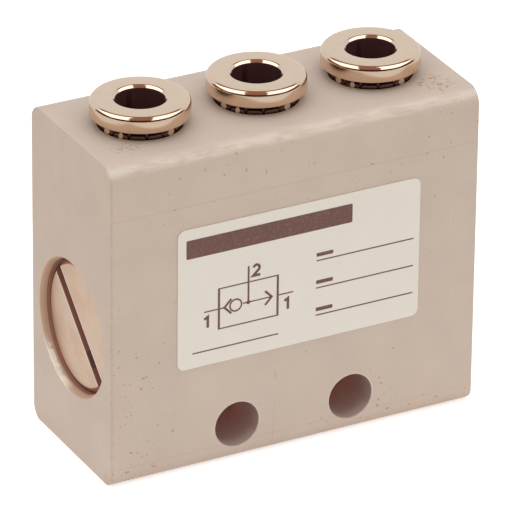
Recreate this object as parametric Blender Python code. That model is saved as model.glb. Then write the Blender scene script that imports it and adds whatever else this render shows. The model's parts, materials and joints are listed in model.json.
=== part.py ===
"""Pneumatic shuttle valve: a drilled aluminium block with three push-in tube ports.

Frame: metres, +Z up, origin in the middle of the block's base. The main bore runs along X and
is closed by a slotted plug at -X. The label face is -Y, and the tube ports open at +Z.
Run with: blender --background --python part.py
"""
import math

import bmesh
import bpy
from mathutils import Matrix, Vector

MM = 0.001

# Gaps between pieces
FIT_GAP = 0.05 * MM          # between pieces that seat in or on each other
RUNNING_GAP = 0.10 * MM      # round pieces that slide
SEAL_GAP = 0.02 * MM         # round the sealing rings

# Block, its sizes apart from those that follow its bores
BLOCK_HEIGHT = 30.0 * MM
SIDE_WALL = 1.35 * MM        # metal left on each side of the plug's mouth
END_MARGIN = 6.5 * MM        # from an outer port's axis to the block's end
TOP_EDGE_RADIUS = 1.45 * MM
BOTTOM_EDGE_RADIUS = 1.25 * MM
PORT_PITCH = 11.0 * MM
PORT_DRILL_DIAMETER = 2.4 * MM

# Two plain holes for the fixing screws
FIXING_DIAMETER = 4.2 * MM
FIXING_PITCH = 11.0 * MM
FIXING_HEIGHT = 3.4 * MM
FIXING_WALL = 1.45 * MM      # metal between a fixing hole and the main bore

# Main bore, from the seats out to the plug's mouth
SEAT_BORE_DIAMETER = 4.0 * MM
SEAT_LIP_WIDTH = 0.6 * MM
SEAT_FLARE = 0.8 * MM
SEAT_HEIGHT = 0.9 * MM
CHAMBER_MARGIN = 0.9 * MM
CHAMBER_LENGTH = 8.4 * MM
BUSH_SHOULDER = 0.75 * MM
THREAD_STEP = 0.9 * MM
MOUTH_CHAMFER = 0.2 * MM
MOUTH_DEPTH = 0.45 * MM
PASSAGE_OVERRUN = 0.2 * MM
DRILL_POINT_ANGLE = 118.0    # degrees, included
POINT_CUT = 0.96             # share of the drill point that is cut

# Slotted end plug
PLUG_RECESS = 0.7 * MM
PLUG_CHAMFER = 0.48 * MM
NECK_LAND = 0.2 * MM
NECK_LIP = 0.45 * MM
SLOT_WIDTH = 1.15 * MM
SLOT_DEPTH = 1.2 * MM
SLOT_TILT = 47.0             # degrees from upright, the top leaning to the rear

# O-rings of the plug and of the seat bush
O_RING_CORD = 0.9 * MM
O_RING_SIDE_GAP = 0.08 * MM

# Spacer sleeve and seat bush
SLEEVE_END_WALL = 0.45 * MM
SLEEVE_WALL = 1.8 * MM
SLEEVE_GROOVE_DEPTH = 0.7 * MM
SLEEVE_HOLE_DIAMETER = 2.0 * MM
BUSH_LENGTH = 3.3 * MM
BUSH_FUNNEL = 1.2 * MM

# Shuttle
SHUTTLE_TRAVEL = 1.05 * MM   # each way from the middle
PAD_MARGIN = 0.4 * MM        # pad beyond the seat's lip
PAD_PROUD = 0.3 * MM
PAD_SET = 0.85 * MM
PAD_RIM = 0.35 * MM

# Push-in cartridges, from the tube outwards
TUBE_DIAMETER = 4.0 * MM
TUBE_GAP = 0.15 * MM
TUBE_STOP_GAP = 0.1 * MM
TUBE_STOP_DEPTH = 2.0 * MM
STEM_WALL = 0.4 * MM
BEAD_HEIGHT = 0.4 * MM
BEAD_LAND = 0.3 * MM
BEAD_TAPER = 0.45 * MM
BEAD_GAP = 0.2 * MM
COLLAR_WALL = 0.45 * MM
COLLAR_PROUD = 0.6 * MM
COLLAR_LIP_LENGTH = 1.6 * MM
COLLAR_CHAMFER = 0.12 * MM
COLLAR_TEETH = 15
FLUTE_DEPTH = 0.2 * MM
TOOTH_WIDTH = 0.8            # share of each tooth's pitch that its crest takes
FLANGE_OVERHANG = 0.7 * MM
FLANGE_THICKNESS = 1.45 * MM
FLANGE_ROUNDING = 0.5 * MM
FLANGE_LOWER_BREAK = 0.1 * MM
RING_MOUTH_ROUNDING = 0.38 * MM
NOSE_CHAMFER = 0.2 * MM
SKIRT_SLOTS = 4
SKIRT_SLOT_WIDTH = 0.5 * MM
SKIRT_SLOT_ABOVE_BEAD = 0.5 * MM
PRESS_TRAVEL = 0.2 * MM      # a release ring pushed down from rest
LIFT_TRAVEL = 0.3 * MM       # a release ring lifted from rest
SOCKET_DEPTH = 5.4 * MM
WASHER_HEIGHT = 1.25 * MM
WASHER_GAP = 0.12 * MM
CLAW_THICKNESS = 0.2 * MM
CLAW_SLOPE = 39.0            # degrees, fingers pointing down and inwards
CLAW_BITE = 0.03 * MM
CLAW_FLEX_GAP = 0.15 * MM
CLAW_FINGERS = 6
CLAW_SLIT = 0.35 * MM
TUBE_SEAL_CORD = 1.35 * MM
TUBE_SEAL_SQUEEZE = 0.05 * MM

# Label on the front face
LABEL_WIDTH = 23.2 * MM
LABEL_HEIGHT = 13.2 * MM
LABEL_OFFSET = 0.3 * MM      # to the right of the middle
LABEL_BASE = 9.85 * MM       # lower edge above the block's base
LABEL_CORNER = 0.7 * MM
LABEL_THICKNESS = 0.08 * MM
LABEL_BOND = 0.02 * MM

# Facets round a full turn
SMOOTH_TURN = 36
RING_TURN = 32
INNER_TURN = 24
CORD_SIDES = 6
CORNER_STEPS = 5
ROUNDING_STEPS = 3
MOUTH_STEPS = 3
OVERCUT = 1.0 * MM           # how far a cutter stands out of what it cuts
SHARP_ANGLE = math.radians(32)

# Radii of the main bore and of what fits in it
SEAT_R = SEAT_BORE_DIAMETER / 2
SEAT_TIP_R = SEAT_R + SEAT_LIP_WIDTH
SEAT_BASE_R = SEAT_TIP_R + SEAT_FLARE
CHAMBER_R = SEAT_BASE_R + CHAMBER_MARGIN
SEAL_BORE_R = CHAMBER_R + BUSH_SHOULDER
THREAD_BORE_R = SEAL_BORE_R + THREAD_STEP
MOUTH_R = THREAD_BORE_R + MOUTH_CHAMFER
INSERT_R = SEAL_BORE_R - FIT_GAP
O_RING_R = O_RING_CORD / 2
O_RING_CENTRE_R = SEAL_BORE_R - SEAL_GAP - O_RING_R
GROOVE_FLOOR_R = O_RING_CENTRE_R - O_RING_R - SEAL_GAP
GROOVE_WIDTH = O_RING_CORD + 2 * O_RING_SIDE_GAP

# Block and bore positions
BLOCK_LENGTH = 2 * (PORT_PITCH + END_MARGIN)
BLOCK_DEPTH = 2 * (MOUTH_R + SIDE_WALL)
BORE_HEIGHT = FIXING_HEIGHT + FIXING_DIAMETER / 2 + FIXING_WALL + SEAL_BORE_R
PORT_DRILL_R = PORT_DRILL_DIAMETER / 2

# Stations along the main bore, as world X
CHAMBER_END = CHAMBER_LENGTH / 2
SEAT_TIP_X = CHAMBER_END - SEAT_HEIGHT
BUSH_RIGHT = -CHAMBER_END - FIT_GAP
BUSH_LEFT = BUSH_RIGHT - BUSH_LENGTH
SLEEVE_RIGHT = BUSH_LEFT - FIT_GAP
SLEEVE_LEFT = -PORT_PITCH - PORT_DRILL_R - SLEEVE_END_WALL
PLUG_RIGHT = SLEEVE_LEFT - FIT_GAP
PLUG_GROOVE_RIGHT = PLUG_RIGHT - NECK_LIP
PLUG_GROOVE_LEFT = PLUG_GROOVE_RIGHT - GROOVE_WIDTH
PLUG_SHOULDER = PLUG_GROOVE_LEFT - NECK_LAND
PLUG_FACE = -BLOCK_LENGTH / 2 + PLUG_RECESS

# Radii of the cartridges
TUBE_R = TUBE_DIAMETER / 2
RING_BORE_R = TUBE_R + TUBE_GAP
STEM_R = RING_BORE_R + STEM_WALL
LIP_R = STEM_R + RUNNING_GAP
BEAD_R = STEM_R + BEAD_HEIGHT
RELIEF_R = BEAD_R + BEAD_GAP
COLLAR_R = RELIEF_R + COLLAR_WALL
SOCKET_R = COLLAR_R + FIT_GAP
FLANGE_R = COLLAR_R + FLANGE_OVERHANG
TUBE_STOP_R = TUBE_R + TUBE_STOP_GAP
TUBE_SEAL_R = TUBE_SEAL_CORD / 2
TUBE_SEAL_CENTRE_R = TUBE_R - TUBE_SEAL_SQUEEZE + TUBE_SEAL_R
SEAL_POCKET_R = TUBE_SEAL_CENTRE_R + TUBE_SEAL_R + FIT_GAP

# Heights in a cartridge, above the block's top face
SEAL_POCKET_FLOOR = -SOCKET_DEPTH - TUBE_SEAL_CORD - 2 * FIT_GAP
TUBE_STOP = SEAL_POCKET_FLOOR - TUBE_STOP_DEPTH
WASHER_BOTTOM = -SOCKET_DEPTH + FIT_GAP
WASHER_TOP = WASHER_BOTTOM + WASHER_HEIGHT
CLAW_BOTTOM = WASHER_TOP + FIT_GAP
CLAW_TOP = CLAW_BOTTOM + CLAW_THICKNESS
COLLAR_BOTTOM = CLAW_TOP + FIT_GAP
FLANGE_BOTTOM = COLLAR_PROUD + PRESS_TRAVEL + FIT_GAP
FLANGE_TOP = FLANGE_BOTTOM + FLANGE_THICKNESS
LIP_BOTTOM = COLLAR_PROUD - COLLAR_LIP_LENGTH
BEAD_TOP = LIP_BOTTOM - LIFT_TRAVEL - FIT_GAP

# Gripping claw
CLAW_OUTER_R = COLLAR_R - FIT_GAP
CLAW_ROOT_R = RELIEF_R - BEAD_GAP
CLAW_TIP_R = TUBE_R - CLAW_BITE
CLAW_FALL = math.tan(math.radians(CLAW_SLOPE))


def clear_scene():
    """Remove the objects of the start-up scene."""
    for thing in list(bpy.data.objects):
        bpy.data.objects.remove(thing, do_unlink=True)


def make_material(name, colour, roughness, metallic):
    """Principled material with one plain colour."""
    made = bpy.data.materials.new(name)
    made.use_nodes = True
    shader = made.node_tree.nodes["Principled BSDF"]
    shader.inputs["Base Color"].default_value = (*colour, 1.0)
    shader.inputs["Roughness"].default_value = roughness
    shader.inputs["Metallic"].default_value = metallic
    made.diffuse_color = (*colour, 1.0)
    return made


def make_axis(name, location, rotation=(0.0, 0.0, 0.0)):
    """Empty that marks a bore's axis; the pieces in the bore hang from it."""
    axis = bpy.data.objects.new(name, None)
    axis.location = location
    axis.rotation_euler = rotation
    bpy.context.scene.collection.objects.link(axis)
    return axis


def make_object(name, mesh, parent=None, material=None):
    """Object for a mesh, with smooth round faces and crisp edges."""
    made = bpy.data.objects.new(name, mesh)
    made.parent = parent
    bpy.context.scene.collection.objects.link(made)
    mesh.shade_smooth()
    mesh.set_sharp_from_angle(angle=SHARP_ANGLE)
    if material is not None:
        mesh.materials.append(material)
    return made


def make_cutter(name, mesh, parent=None):
    """Hidden object that only cuts others."""
    made = make_object(name, mesh, parent)
    made.hide_render = True
    made.display_type = "WIRE"
    return made


def cut(target, cutter):
    """Take the cutter's shape out of the target."""
    step = target.modifiers.new(cutter.name, "BOOLEAN")
    step.operation = "DIFFERENCE"
    step.solver = "EXACT"
    step.object = cutter


def finish_mesh(name, builder):
    """Mesh from a bmesh, with all faces turned outwards."""
    bmesh.ops.recalc_face_normals(builder, faces=builder.faces)
    mesh = bpy.data.meshes.new(name)
    builder.to_mesh(mesh)
    builder.free()
    return mesh


def band(builder, lower, upper):
    """Quads between two closed loops of equally many vertices."""
    count = len(lower)
    for i in range(count):
        j = (i + 1) % count
        builder.faces.new((lower[i], lower[j], upper[j], upper[i]))


def stacked(name, loops):
    """Solid through a stack of closed loops, with a flat cap at each end."""
    builder = bmesh.new()
    rows = [[builder.verts.new(point) for point in loop] for loop in loops]
    for lower, upper in zip(rows, rows[1:]):
        band(builder, lower, upper)
    builder.faces.new(rows[0])
    builder.faces.new(rows[-1])
    return finish_mesh(name, builder)


def circle(radius, height, turn):
    """Points of a circle round Z."""
    angles = (2 * math.pi * i / turn for i in range(turn))
    return [Vector((radius * math.cos(a), radius * math.sin(a), height)) for a in angles]


def turned_solid(name, profile, turn):
    """Solid of revolution round Z from (radius, height) points between its two end faces."""
    return stacked(name, [circle(radius, height, turn) for radius, height in profile])


def turned_ring(name, profile, turn):
    """Ring round Z from the closed outline of its section in (radius, height) points."""
    builder = bmesh.new()
    rows = []
    for i in range(turn):
        spin = Matrix.Rotation(2 * math.pi * i / turn, 3, "Z")
        rows.append([builder.verts.new(spin @ Vector((r, 0.0, z))) for r, z in profile])
    for i in range(turn):
        band(builder, rows[i], rows[(i + 1) % turn])
    return finish_mesh(name, builder)


def arc(centre, radius, start, end, steps=CORNER_STEPS):
    """Points of an arc in a plane, with its angles in degrees."""
    points = []
    for i in range(steps + 1):
        angle = math.radians(start + (end - start) * i / steps)
        points.append((centre[0] + radius * math.cos(angle), centre[1] + radius * math.sin(angle)))
    return points


def rounded_rectangle(width, height, radii):
    """Outline round the origin; radii go from the upper right corner, anticlockwise."""
    half_width = width / 2
    half_height = height / 2
    outline = []
    for i, radius in enumerate(radii):
        side = 1 if i in (0, 3) else -1
        rise = 1 if i < 2 else -1
        centre = (side * (half_width - radius), rise * (half_height - radius))
        outline += arc(centre, radius, 90.0 * i, 90.0 * (i + 1))
    return outline


def cord_ring(name, centre_radius, cord_radius, height, turn):
    """O-ring round Z at a height."""
    section = [
        (centre_radius + cord_radius * math.cos(a), height + cord_radius * math.sin(a))
        for a in (2 * math.pi * (i + 0.5) / CORD_SIDES for i in range(CORD_SIDES))
    ]
    return turned_ring(name, section, turn)


def spoke_cutter(name, spokes, width, reach, bottom, top):
    """Star-shaped prism: narrow arms from the axis outwards, to cut slits."""
    half = width / 2
    valley = half / math.sin(math.pi / spokes)
    outline = []
    for i in range(spokes):
        angle = 2 * math.pi * i / spokes
        spin = Matrix.Rotation(angle, 3, "Z")
        outline.append(spin @ Vector((reach, -half, 0.0)))
        outline.append(spin @ Vector((reach, half, 0.0)))
        corner = angle + math.pi / spokes
        outline.append(Vector((valley * math.cos(corner), valley * math.sin(corner), 0.0)))
    heights = (bottom, top)
    return stacked(name, [[Vector((p.x, p.y, z)) for p in outline] for z in heights])


def main_bore_profile():
    """The hole from the plug's mouth to the far passage, with the fixed seat left standing."""
    mouth = -BLOCK_LENGTH / 2
    passage_end = PORT_PITCH + PORT_DRILL_R + PASSAGE_OVERRUN
    point = SEAT_R / math.tan(math.radians(DRILL_POINT_ANGLE / 2))
    return [
        (MOUTH_R, mouth - OVERCUT),
        (MOUTH_R, mouth),
        (THREAD_BORE_R, mouth + MOUTH_DEPTH),
        (THREAD_BORE_R, PLUG_SHOULDER + FIT_GAP),
        (SEAL_BORE_R, PLUG_SHOULDER + FIT_GAP),
        (SEAL_BORE_R, -CHAMBER_END),
        (CHAMBER_R, -CHAMBER_END),
        (CHAMBER_R, CHAMBER_END),
        (SEAT_BASE_R, CHAMBER_END),
        (SEAT_TIP_R, SEAT_TIP_X),
        (SEAT_R, SEAT_TIP_X),
        (SEAT_R, passage_end),
        (SEAT_R * (1 - POINT_CUT), passage_end + point * POINT_CUT),
    ]


def port_profile():
    """One stepped port hole, from above the block down to the main bore's axis."""
    return [
        (SOCKET_R, OVERCUT),
        (SOCKET_R, -SOCKET_DEPTH),
        (SEAL_POCKET_R, -SOCKET_DEPTH),
        (SEAL_POCKET_R, SEAL_POCKET_FLOOR),
        (TUBE_STOP_R, SEAL_POCKET_FLOOR),
        (TUBE_STOP_R, TUBE_STOP),
        (PORT_DRILL_R, TUBE_STOP),
        (PORT_DRILL_R, BORE_HEIGHT - BLOCK_HEIGHT),
    ]


def make_block(bore_axis, port_axes, metal):
    """Bar of aluminium with rounded long edges, drilled for bore, ports and fixing screws."""
    radii = (TOP_EDGE_RADIUS, TOP_EDGE_RADIUS, BOTTOM_EDGE_RADIUS, BOTTOM_EDGE_RADIUS)
    outline = rounded_rectangle(BLOCK_DEPTH, BLOCK_HEIGHT, radii)
    middle = BLOCK_HEIGHT / 2
    ends = (-BLOCK_LENGTH / 2, BLOCK_LENGTH / 2)
    loops = [[Vector((x, y, z + middle)) for y, z in outline] for x in ends]
    block = make_object("body_block", stacked("body_block", loops), None, metal)

    bore = turned_solid("main_bore_cutter", main_bore_profile(), SMOOTH_TURN)
    cut(block, make_cutter("main_bore_cutter", bore, bore_axis))
    for number, axis in enumerate(port_axes, start=1):
        name = f"port_cutter_{number}"
        cut(block, make_cutter(name, turned_solid(name, port_profile(), RING_TURN), axis))
    for side, name in ((-1, "fixing_cutter_left"), (1, "fixing_cutter_right")):
        reach = BLOCK_DEPTH / 2 + OVERCUT
        radius = FIXING_DIAMETER / 2
        hole = turned_solid(name, [(radius, -reach), (radius, reach)], RING_TURN)
        cutter = make_cutter(name, hole)
        cutter.location = (side * FIXING_PITCH / 2, 0.0, FIXING_HEIGHT)
        cutter.rotation_euler = (math.pi / 2, 0.0, 0.0)
        cut(block, cutter)


def make_end_plug(bore_axis, metal):
    """Screwed plug with a chamfered slotted face and a neck that carries an O-ring."""
    radius = THREAD_BORE_R - FIT_GAP
    profile = [
        (radius - PLUG_CHAMFER, PLUG_FACE),
        (radius, PLUG_FACE + PLUG_CHAMFER),
        (radius, PLUG_SHOULDER),
        (INSERT_R, PLUG_SHOULDER),
        (INSERT_R, PLUG_GROOVE_LEFT),
        (GROOVE_FLOOR_R, PLUG_GROOVE_LEFT),
        (GROOVE_FLOOR_R, PLUG_GROOVE_RIGHT),
        (INSERT_R, PLUG_GROOVE_RIGHT),
        (INSERT_R, PLUG_RIGHT),
    ]
    plug = make_object("end_plug", turned_solid("end_plug", profile, SMOOTH_TURN), bore_axis, metal)

    half_length = radius + OVERCUT
    half_width = SLOT_WIDTH / 2
    corners = ((half_length, half_width), (-half_length, half_width))
    outline = corners + tuple((-x, -y) for x, y in corners)
    heights = (PLUG_FACE - OVERCUT, PLUG_FACE + SLOT_DEPTH)
    loops = [[Vector((x, y, z)) for x, y in outline] for z in heights]
    slot = make_cutter("slot_cutter", stacked("slot_cutter", loops), bore_axis)
    slot.rotation_euler = (0.0, 0.0, -math.radians(SLOT_TILT))
    cut(plug, slot)


def make_bore_o_rings(bore_axis, rubber):
    """O-rings in the grooves of the plug and of the seat bush."""
    places = (
        ("plug_o_ring", (PLUG_GROOVE_LEFT + PLUG_GROOVE_RIGHT) / 2),
        ("seat_bush_o_ring", (BUSH_LEFT + BUSH_RIGHT) / 2),
    )
    for name, station in places:
        ring = cord_ring(name, O_RING_CENTRE_R, O_RING_R, station, INNER_TURN)
        make_object(name, ring, bore_axis, rubber)


def make_spacer_sleeve(bore_axis, brass):
    """Sleeve between plug and seat bush, grooved and drilled so that air passes from port 1."""
    bore_r = INSERT_R - SLEEVE_WALL
    groove_r = INSERT_R - SLEEVE_GROOVE_DEPTH
    groove_left = -PORT_PITCH - PORT_DRILL_R
    groove_right = -PORT_PITCH + PORT_DRILL_R
    section = [
        (bore_r, SLEEVE_LEFT),
        (INSERT_R, SLEEVE_LEFT),
        (INSERT_R, groove_left),
        (groove_r, groove_left),
        (groove_r, groove_right),
        (INSERT_R, groove_right),
        (INSERT_R, SLEEVE_RIGHT),
        (bore_r, SLEEVE_RIGHT),
    ]
    ring = turned_ring("spacer_sleeve", section, INNER_TURN)
    sleeve = make_object("spacer_sleeve", ring, bore_axis, brass)
    reach = INSERT_R + OVERCUT
    radius = SLEEVE_HOLE_DIAMETER / 2
    quarter = math.pi / 2
    places = (("sleeve_cutter_a", (quarter, 0.0, 0.0)), ("sleeve_cutter_b", (0.0, quarter, 0.0)))
    for name, rotation in places:
        hole = turned_solid(name, [(radius, -reach), (radius, reach)], INNER_TURN // 2)
        cutter = make_cutter(name, hole, bore_axis)
        cutter.location = (0.0, 0.0, -PORT_PITCH)
        cutter.rotation_euler = rotation
        cut(sleeve, cutter)


def make_seat_bush(bore_axis, brass):
    """Bush with the removable seat, a funnel on the side of port 1 and a groove for its O-ring."""
    middle = (BUSH_LEFT + BUSH_RIGHT) / 2
    section = [
        (SEAT_R + BUSH_FUNNEL, BUSH_LEFT),
        (INSERT_R, BUSH_LEFT),
        (INSERT_R, middle - GROOVE_WIDTH / 2),
        (GROOVE_FLOOR_R, middle - GROOVE_WIDTH / 2),
        (GROOVE_FLOOR_R, middle + GROOVE_WIDTH / 2),
        (INSERT_R, middle + GROOVE_WIDTH / 2),
        (INSERT_R, BUSH_RIGHT),
        (SEAT_BASE_R, BUSH_RIGHT),
        (SEAT_TIP_R, -SEAT_TIP_X),
        (SEAT_R, -SEAT_TIP_X),
        (SEAT_R, BUSH_LEFT + BUSH_FUNNEL),
    ]
    make_object("seat_bush", turned_ring("seat_bush", section, INNER_TURN), bore_axis, brass)


def make_shuttle(bore_axis, resin, rubber):
    """Shuttle with four guiding corners, air passing its flats, and a sealing pad at each end."""
    guide_r = CHAMBER_R - RUNNING_GAP
    pad_r = SEAT_TIP_R + PAD_MARGIN
    half_flat = pad_r + FIT_GAP + PAD_RIM
    pad_face = SEAT_TIP_X - SHUTTLE_TRAVEL - FIT_GAP
    core_end = pad_face - PAD_PROUD
    pad_floor = core_end - PAD_SET

    corner = math.degrees(math.acos(half_flat / guide_r))
    outline = []
    for i in range(4):
        outline += arc((0.0, 0.0), guide_r, 90.0 * i + corner, 90.0 * (i + 1) - corner)
    loops = [[Vector((x, y, z)) for x, y in outline] for z in (-core_end, core_end)]
    core = make_object("shuttle_core", stacked("shuttle_core", loops), bore_axis, resin)

    for side, name in ((-1, "left"), (1, "right")):
        recess_r = pad_r + FIT_GAP
        recess_floor = side * (pad_floor - FIT_GAP)
        recess = [(recess_r, recess_floor), (recess_r, side * (core_end + OVERCUT))]
        cutter_name = f"pad_cutter_{name}"
        cut(core, make_cutter(cutter_name, turned_solid(cutter_name, recess, INNER_TURN), bore_axis))
        pad_name = f"shuttle_pad_{name}"
        pad = [(pad_r, side * pad_floor), (pad_r, side * pad_face)]
        make_object(pad_name, turned_solid(pad_name, pad, INNER_TURN), bore_axis, rubber)


def fluted_circle(radius, depth, height):
    """Points round Z of wide round-backed teeth with sharp flutes between them."""
    points = []
    shares = ((-TOOTH_WIDTH / 2, 0.0), (0.0, 0.0), (TOOTH_WIDTH / 2, 0.0), (0.5, depth))
    for tooth in range(COLLAR_TEETH):
        for share, sink in shares:
            angle = 2 * math.pi * (tooth + share) / COLLAR_TEETH
            reach = radius - sink
            points.append(Vector((reach * math.cos(angle), reach * math.sin(angle), height)))
    return points


def collar_mesh():
    """Outside of a collar: fluted bar, its teeth running out over the block's top face."""
    end_r = COLLAR_R - COLLAR_CHAMFER
    end_sink = FLUTE_DEPTH - COLLAR_CHAMFER
    loops = [
        fluted_circle(end_r, end_sink, COLLAR_BOTTOM),
        fluted_circle(COLLAR_R, FLUTE_DEPTH, COLLAR_BOTTOM + COLLAR_CHAMFER),
        fluted_circle(COLLAR_R, FLUTE_DEPTH, 0.0),
        fluted_circle(COLLAR_R - FLUTE_DEPTH, 0.0, COLLAR_PROUD),
    ]
    return stacked("collar", loops)


def collar_bore_mesh():
    """Inside of a collar: a guiding lip over a wider relief."""
    profile = [
        (RELIEF_R, COLLAR_BOTTOM - OVERCUT),
        (RELIEF_R, LIP_BOTTOM),
        (LIP_R, LIP_BOTTOM),
        (LIP_R, COLLAR_PROUD + OVERCUT),
    ]
    return turned_solid("collar_bore", profile, INNER_TURN)


def claw_surface(radius):
    """Height of a claw finger's upper side at a radius."""
    return CLAW_TOP - (CLAW_ROOT_R - radius) * CLAW_FALL


def claw_mesh():
    """Spring washer whose inner part slopes down and inwards to the tube."""
    lean = math.radians(CLAW_SLOPE)
    tip = (CLAW_TIP_R, claw_surface(CLAW_TIP_R))
    under_root_r = CLAW_ROOT_R + CLAW_THICKNESS * math.tan(lean / 2)
    section = [
        (CLAW_OUTER_R, CLAW_TOP),
        (CLAW_ROOT_R, CLAW_TOP),
        tip,
        (tip[0] + CLAW_THICKNESS * math.sin(lean), tip[1] - CLAW_THICKNESS * math.cos(lean)),
        (under_root_r, CLAW_BOTTOM),
        (CLAW_OUTER_R, CLAW_BOTTOM),
    ]
    return turned_ring("gripping_claw", section, INNER_TURN)


def washer_mesh():
    """Support washer, hollowed on top so that the claw's fingers can bend down."""
    bore_r = TUBE_R + WASHER_GAP
    under_root_r = CLAW_ROOT_R + CLAW_THICKNESS * math.tan(math.radians(CLAW_SLOPE / 2))
    cone_start = CLAW_BOTTOM - CLAW_FLEX_GAP
    rim_r = under_root_r + (WASHER_TOP - cone_start) / CLAW_FALL
    section = [
        (bore_r, WASHER_BOTTOM),
        (CLAW_OUTER_R, WASHER_BOTTOM),
        (CLAW_OUTER_R, WASHER_TOP),
        (rim_r, WASHER_TOP),
        (bore_r, cone_start - (under_root_r - bore_r) * CLAW_FALL),
    ]
    return turned_ring("support_washer", section, INNER_TURN)


def release_ring_mesh():
    """Flanged ring with a barbed skirt whose nose opens the claw."""
    nose_r = STEM_R - NOSE_CHAMFER
    nose = claw_surface(nose_r) + PRESS_TRAVEL + FIT_GAP
    bead_bottom = BEAD_TOP - BEAD_LAND
    section = [
        (RING_BORE_R, nose),
        (nose_r, nose),
        (STEM_R, nose + NOSE_CHAMFER),
        (STEM_R, bead_bottom - BEAD_TAPER),
        (BEAD_R, bead_bottom),
        (BEAD_R, BEAD_TOP),
        (STEM_R, BEAD_TOP),
        (STEM_R, FLANGE_BOTTOM),
        (FLANGE_R - FLANGE_LOWER_BREAK, FLANGE_BOTTOM),
        (FLANGE_R, FLANGE_BOTTOM + FLANGE_LOWER_BREAK),
    ]
    rounding = (FLANGE_R - FLANGE_ROUNDING, FLANGE_TOP - FLANGE_ROUNDING)
    section += arc(rounding, FLANGE_ROUNDING, 0.0, 90.0, ROUNDING_STEPS)
    mouth = (RING_BORE_R + RING_MOUTH_ROUNDING, FLANGE_TOP - RING_MOUTH_ROUNDING)
    section += arc(mouth, RING_MOUTH_ROUNDING, 90.0, 180.0, MOUTH_STEPS)
    return turned_ring("release_ring", section, RING_TURN)


def make_cartridges(port_axes, plated, steel, resin, rubber):
    """One push-in cartridge a port: collar, release ring, claw, washer and tube seal."""
    slot_bottom = COLLAR_BOTTOM - OVERCUT
    slot_top = BEAD_TOP + SKIRT_SLOT_ABOVE_BEAD
    skirt = spoke_cutter("skirt", SKIRT_SLOTS, SKIRT_SLOT_WIDTH, RELIEF_R, slot_bottom, slot_top)
    slit_bottom = WASHER_BOTTOM
    slit_top = COLLAR_BOTTOM
    slits = spoke_cutter("slits", CLAW_FINGERS, CLAW_SLIT, CLAW_ROOT_R, slit_bottom, slit_top)
    seal_height = -SOCKET_DEPTH - FIT_GAP - TUBE_SEAL_R
    shapes = {
        "collar": (collar_mesh(), plated, collar_bore_mesh()),
        "release_ring": (release_ring_mesh(), plated, skirt),
        "gripping_claw": (claw_mesh(), steel, slits),
        "support_washer": (washer_mesh(), resin, None),
        "tube_seal": (
            cord_ring("tube_seal", TUBE_SEAL_CENTRE_R, TUBE_SEAL_R, seal_height, INNER_TURN),
            rubber,
            None,
        ),
    }
    for shape, (mesh, material, cutter_mesh) in shapes.items():
        mesh.materials.append(material)
        for number, axis in enumerate(port_axes, start=1):
            piece = make_object(f"{shape}_{number}", mesh, axis)
            if cutter_mesh is not None:
                cut(piece, make_cutter(f"{shape}_cutter_{number}", cutter_mesh, axis))


def make_label(film):
    """Thin label with rounded corners on the front face."""
    outline = rounded_rectangle(LABEL_WIDTH, LABEL_HEIGHT, (LABEL_CORNER,) * 4)
    middle = LABEL_BASE + LABEL_HEIGHT / 2
    back = -BLOCK_DEPTH / 2 - LABEL_BOND
    front = back - LABEL_THICKNESS
    loops = [[Vector((x + LABEL_OFFSET, y, z + middle)) for x, z in outline] for y in (back, front)]
    make_object("label", stacked("label", loops), None, film)


def main():
    clear_scene()
    block_metal = make_material("blasted_aluminium", (0.55, 0.43, 0.35), 0.55, 0.6)
    plug_metal = make_material("plug_metal", (0.53, 0.38, 0.28), 0.35, 1.0)
    plated = make_material("plated_brass", (0.68, 0.55, 0.45), 0.18, 1.0)
    brass = make_material("plain_brass", (0.60, 0.42, 0.16), 0.3, 1.0)
    steel = make_material("spring_steel", (0.50, 0.48, 0.46), 0.3, 1.0)
    resin = make_material("acetal_resin", (0.62, 0.60, 0.55), 0.45, 0.0)
    rubber = make_material("nitrile_rubber", (0.02, 0.02, 0.02), 0.6, 0.0)
    film = make_material("label_film", (0.72, 0.63, 0.54), 0.5, 0.0)

    bore_axis = make_axis("main_bore_axis", (0.0, 0.0, BORE_HEIGHT), (0.0, math.pi / 2, 0.0))
    port_axes = [
        make_axis(f"port_axis_{i + 2}", (i * PORT_PITCH, 0.0, BLOCK_HEIGHT)) for i in (-1, 0, 1)
    ]
    make_block(bore_axis, port_axes, block_metal)
    make_end_plug(bore_axis, plug_metal)
    make_bore_o_rings(bore_axis, rubber)
    make_spacer_sleeve(bore_axis, brass)
    make_seat_bush(bore_axis, brass)
    make_shuttle(bore_axis, resin, rubber)
    make_cartridges(port_axes, plated, steel, resin, rubber)
    make_label(film)


main()
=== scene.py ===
"""Looks of a pneumatic shuttle valve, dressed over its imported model.

The file is laid out as an add-on and run as a script. The frame gives the places and the main
sizes. Each operator builds one kind of piece with its finish, and the last one builds the studio.
"""
import json
import math

import bmesh
import bpy
from mathutils import Matrix, Vector

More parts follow.
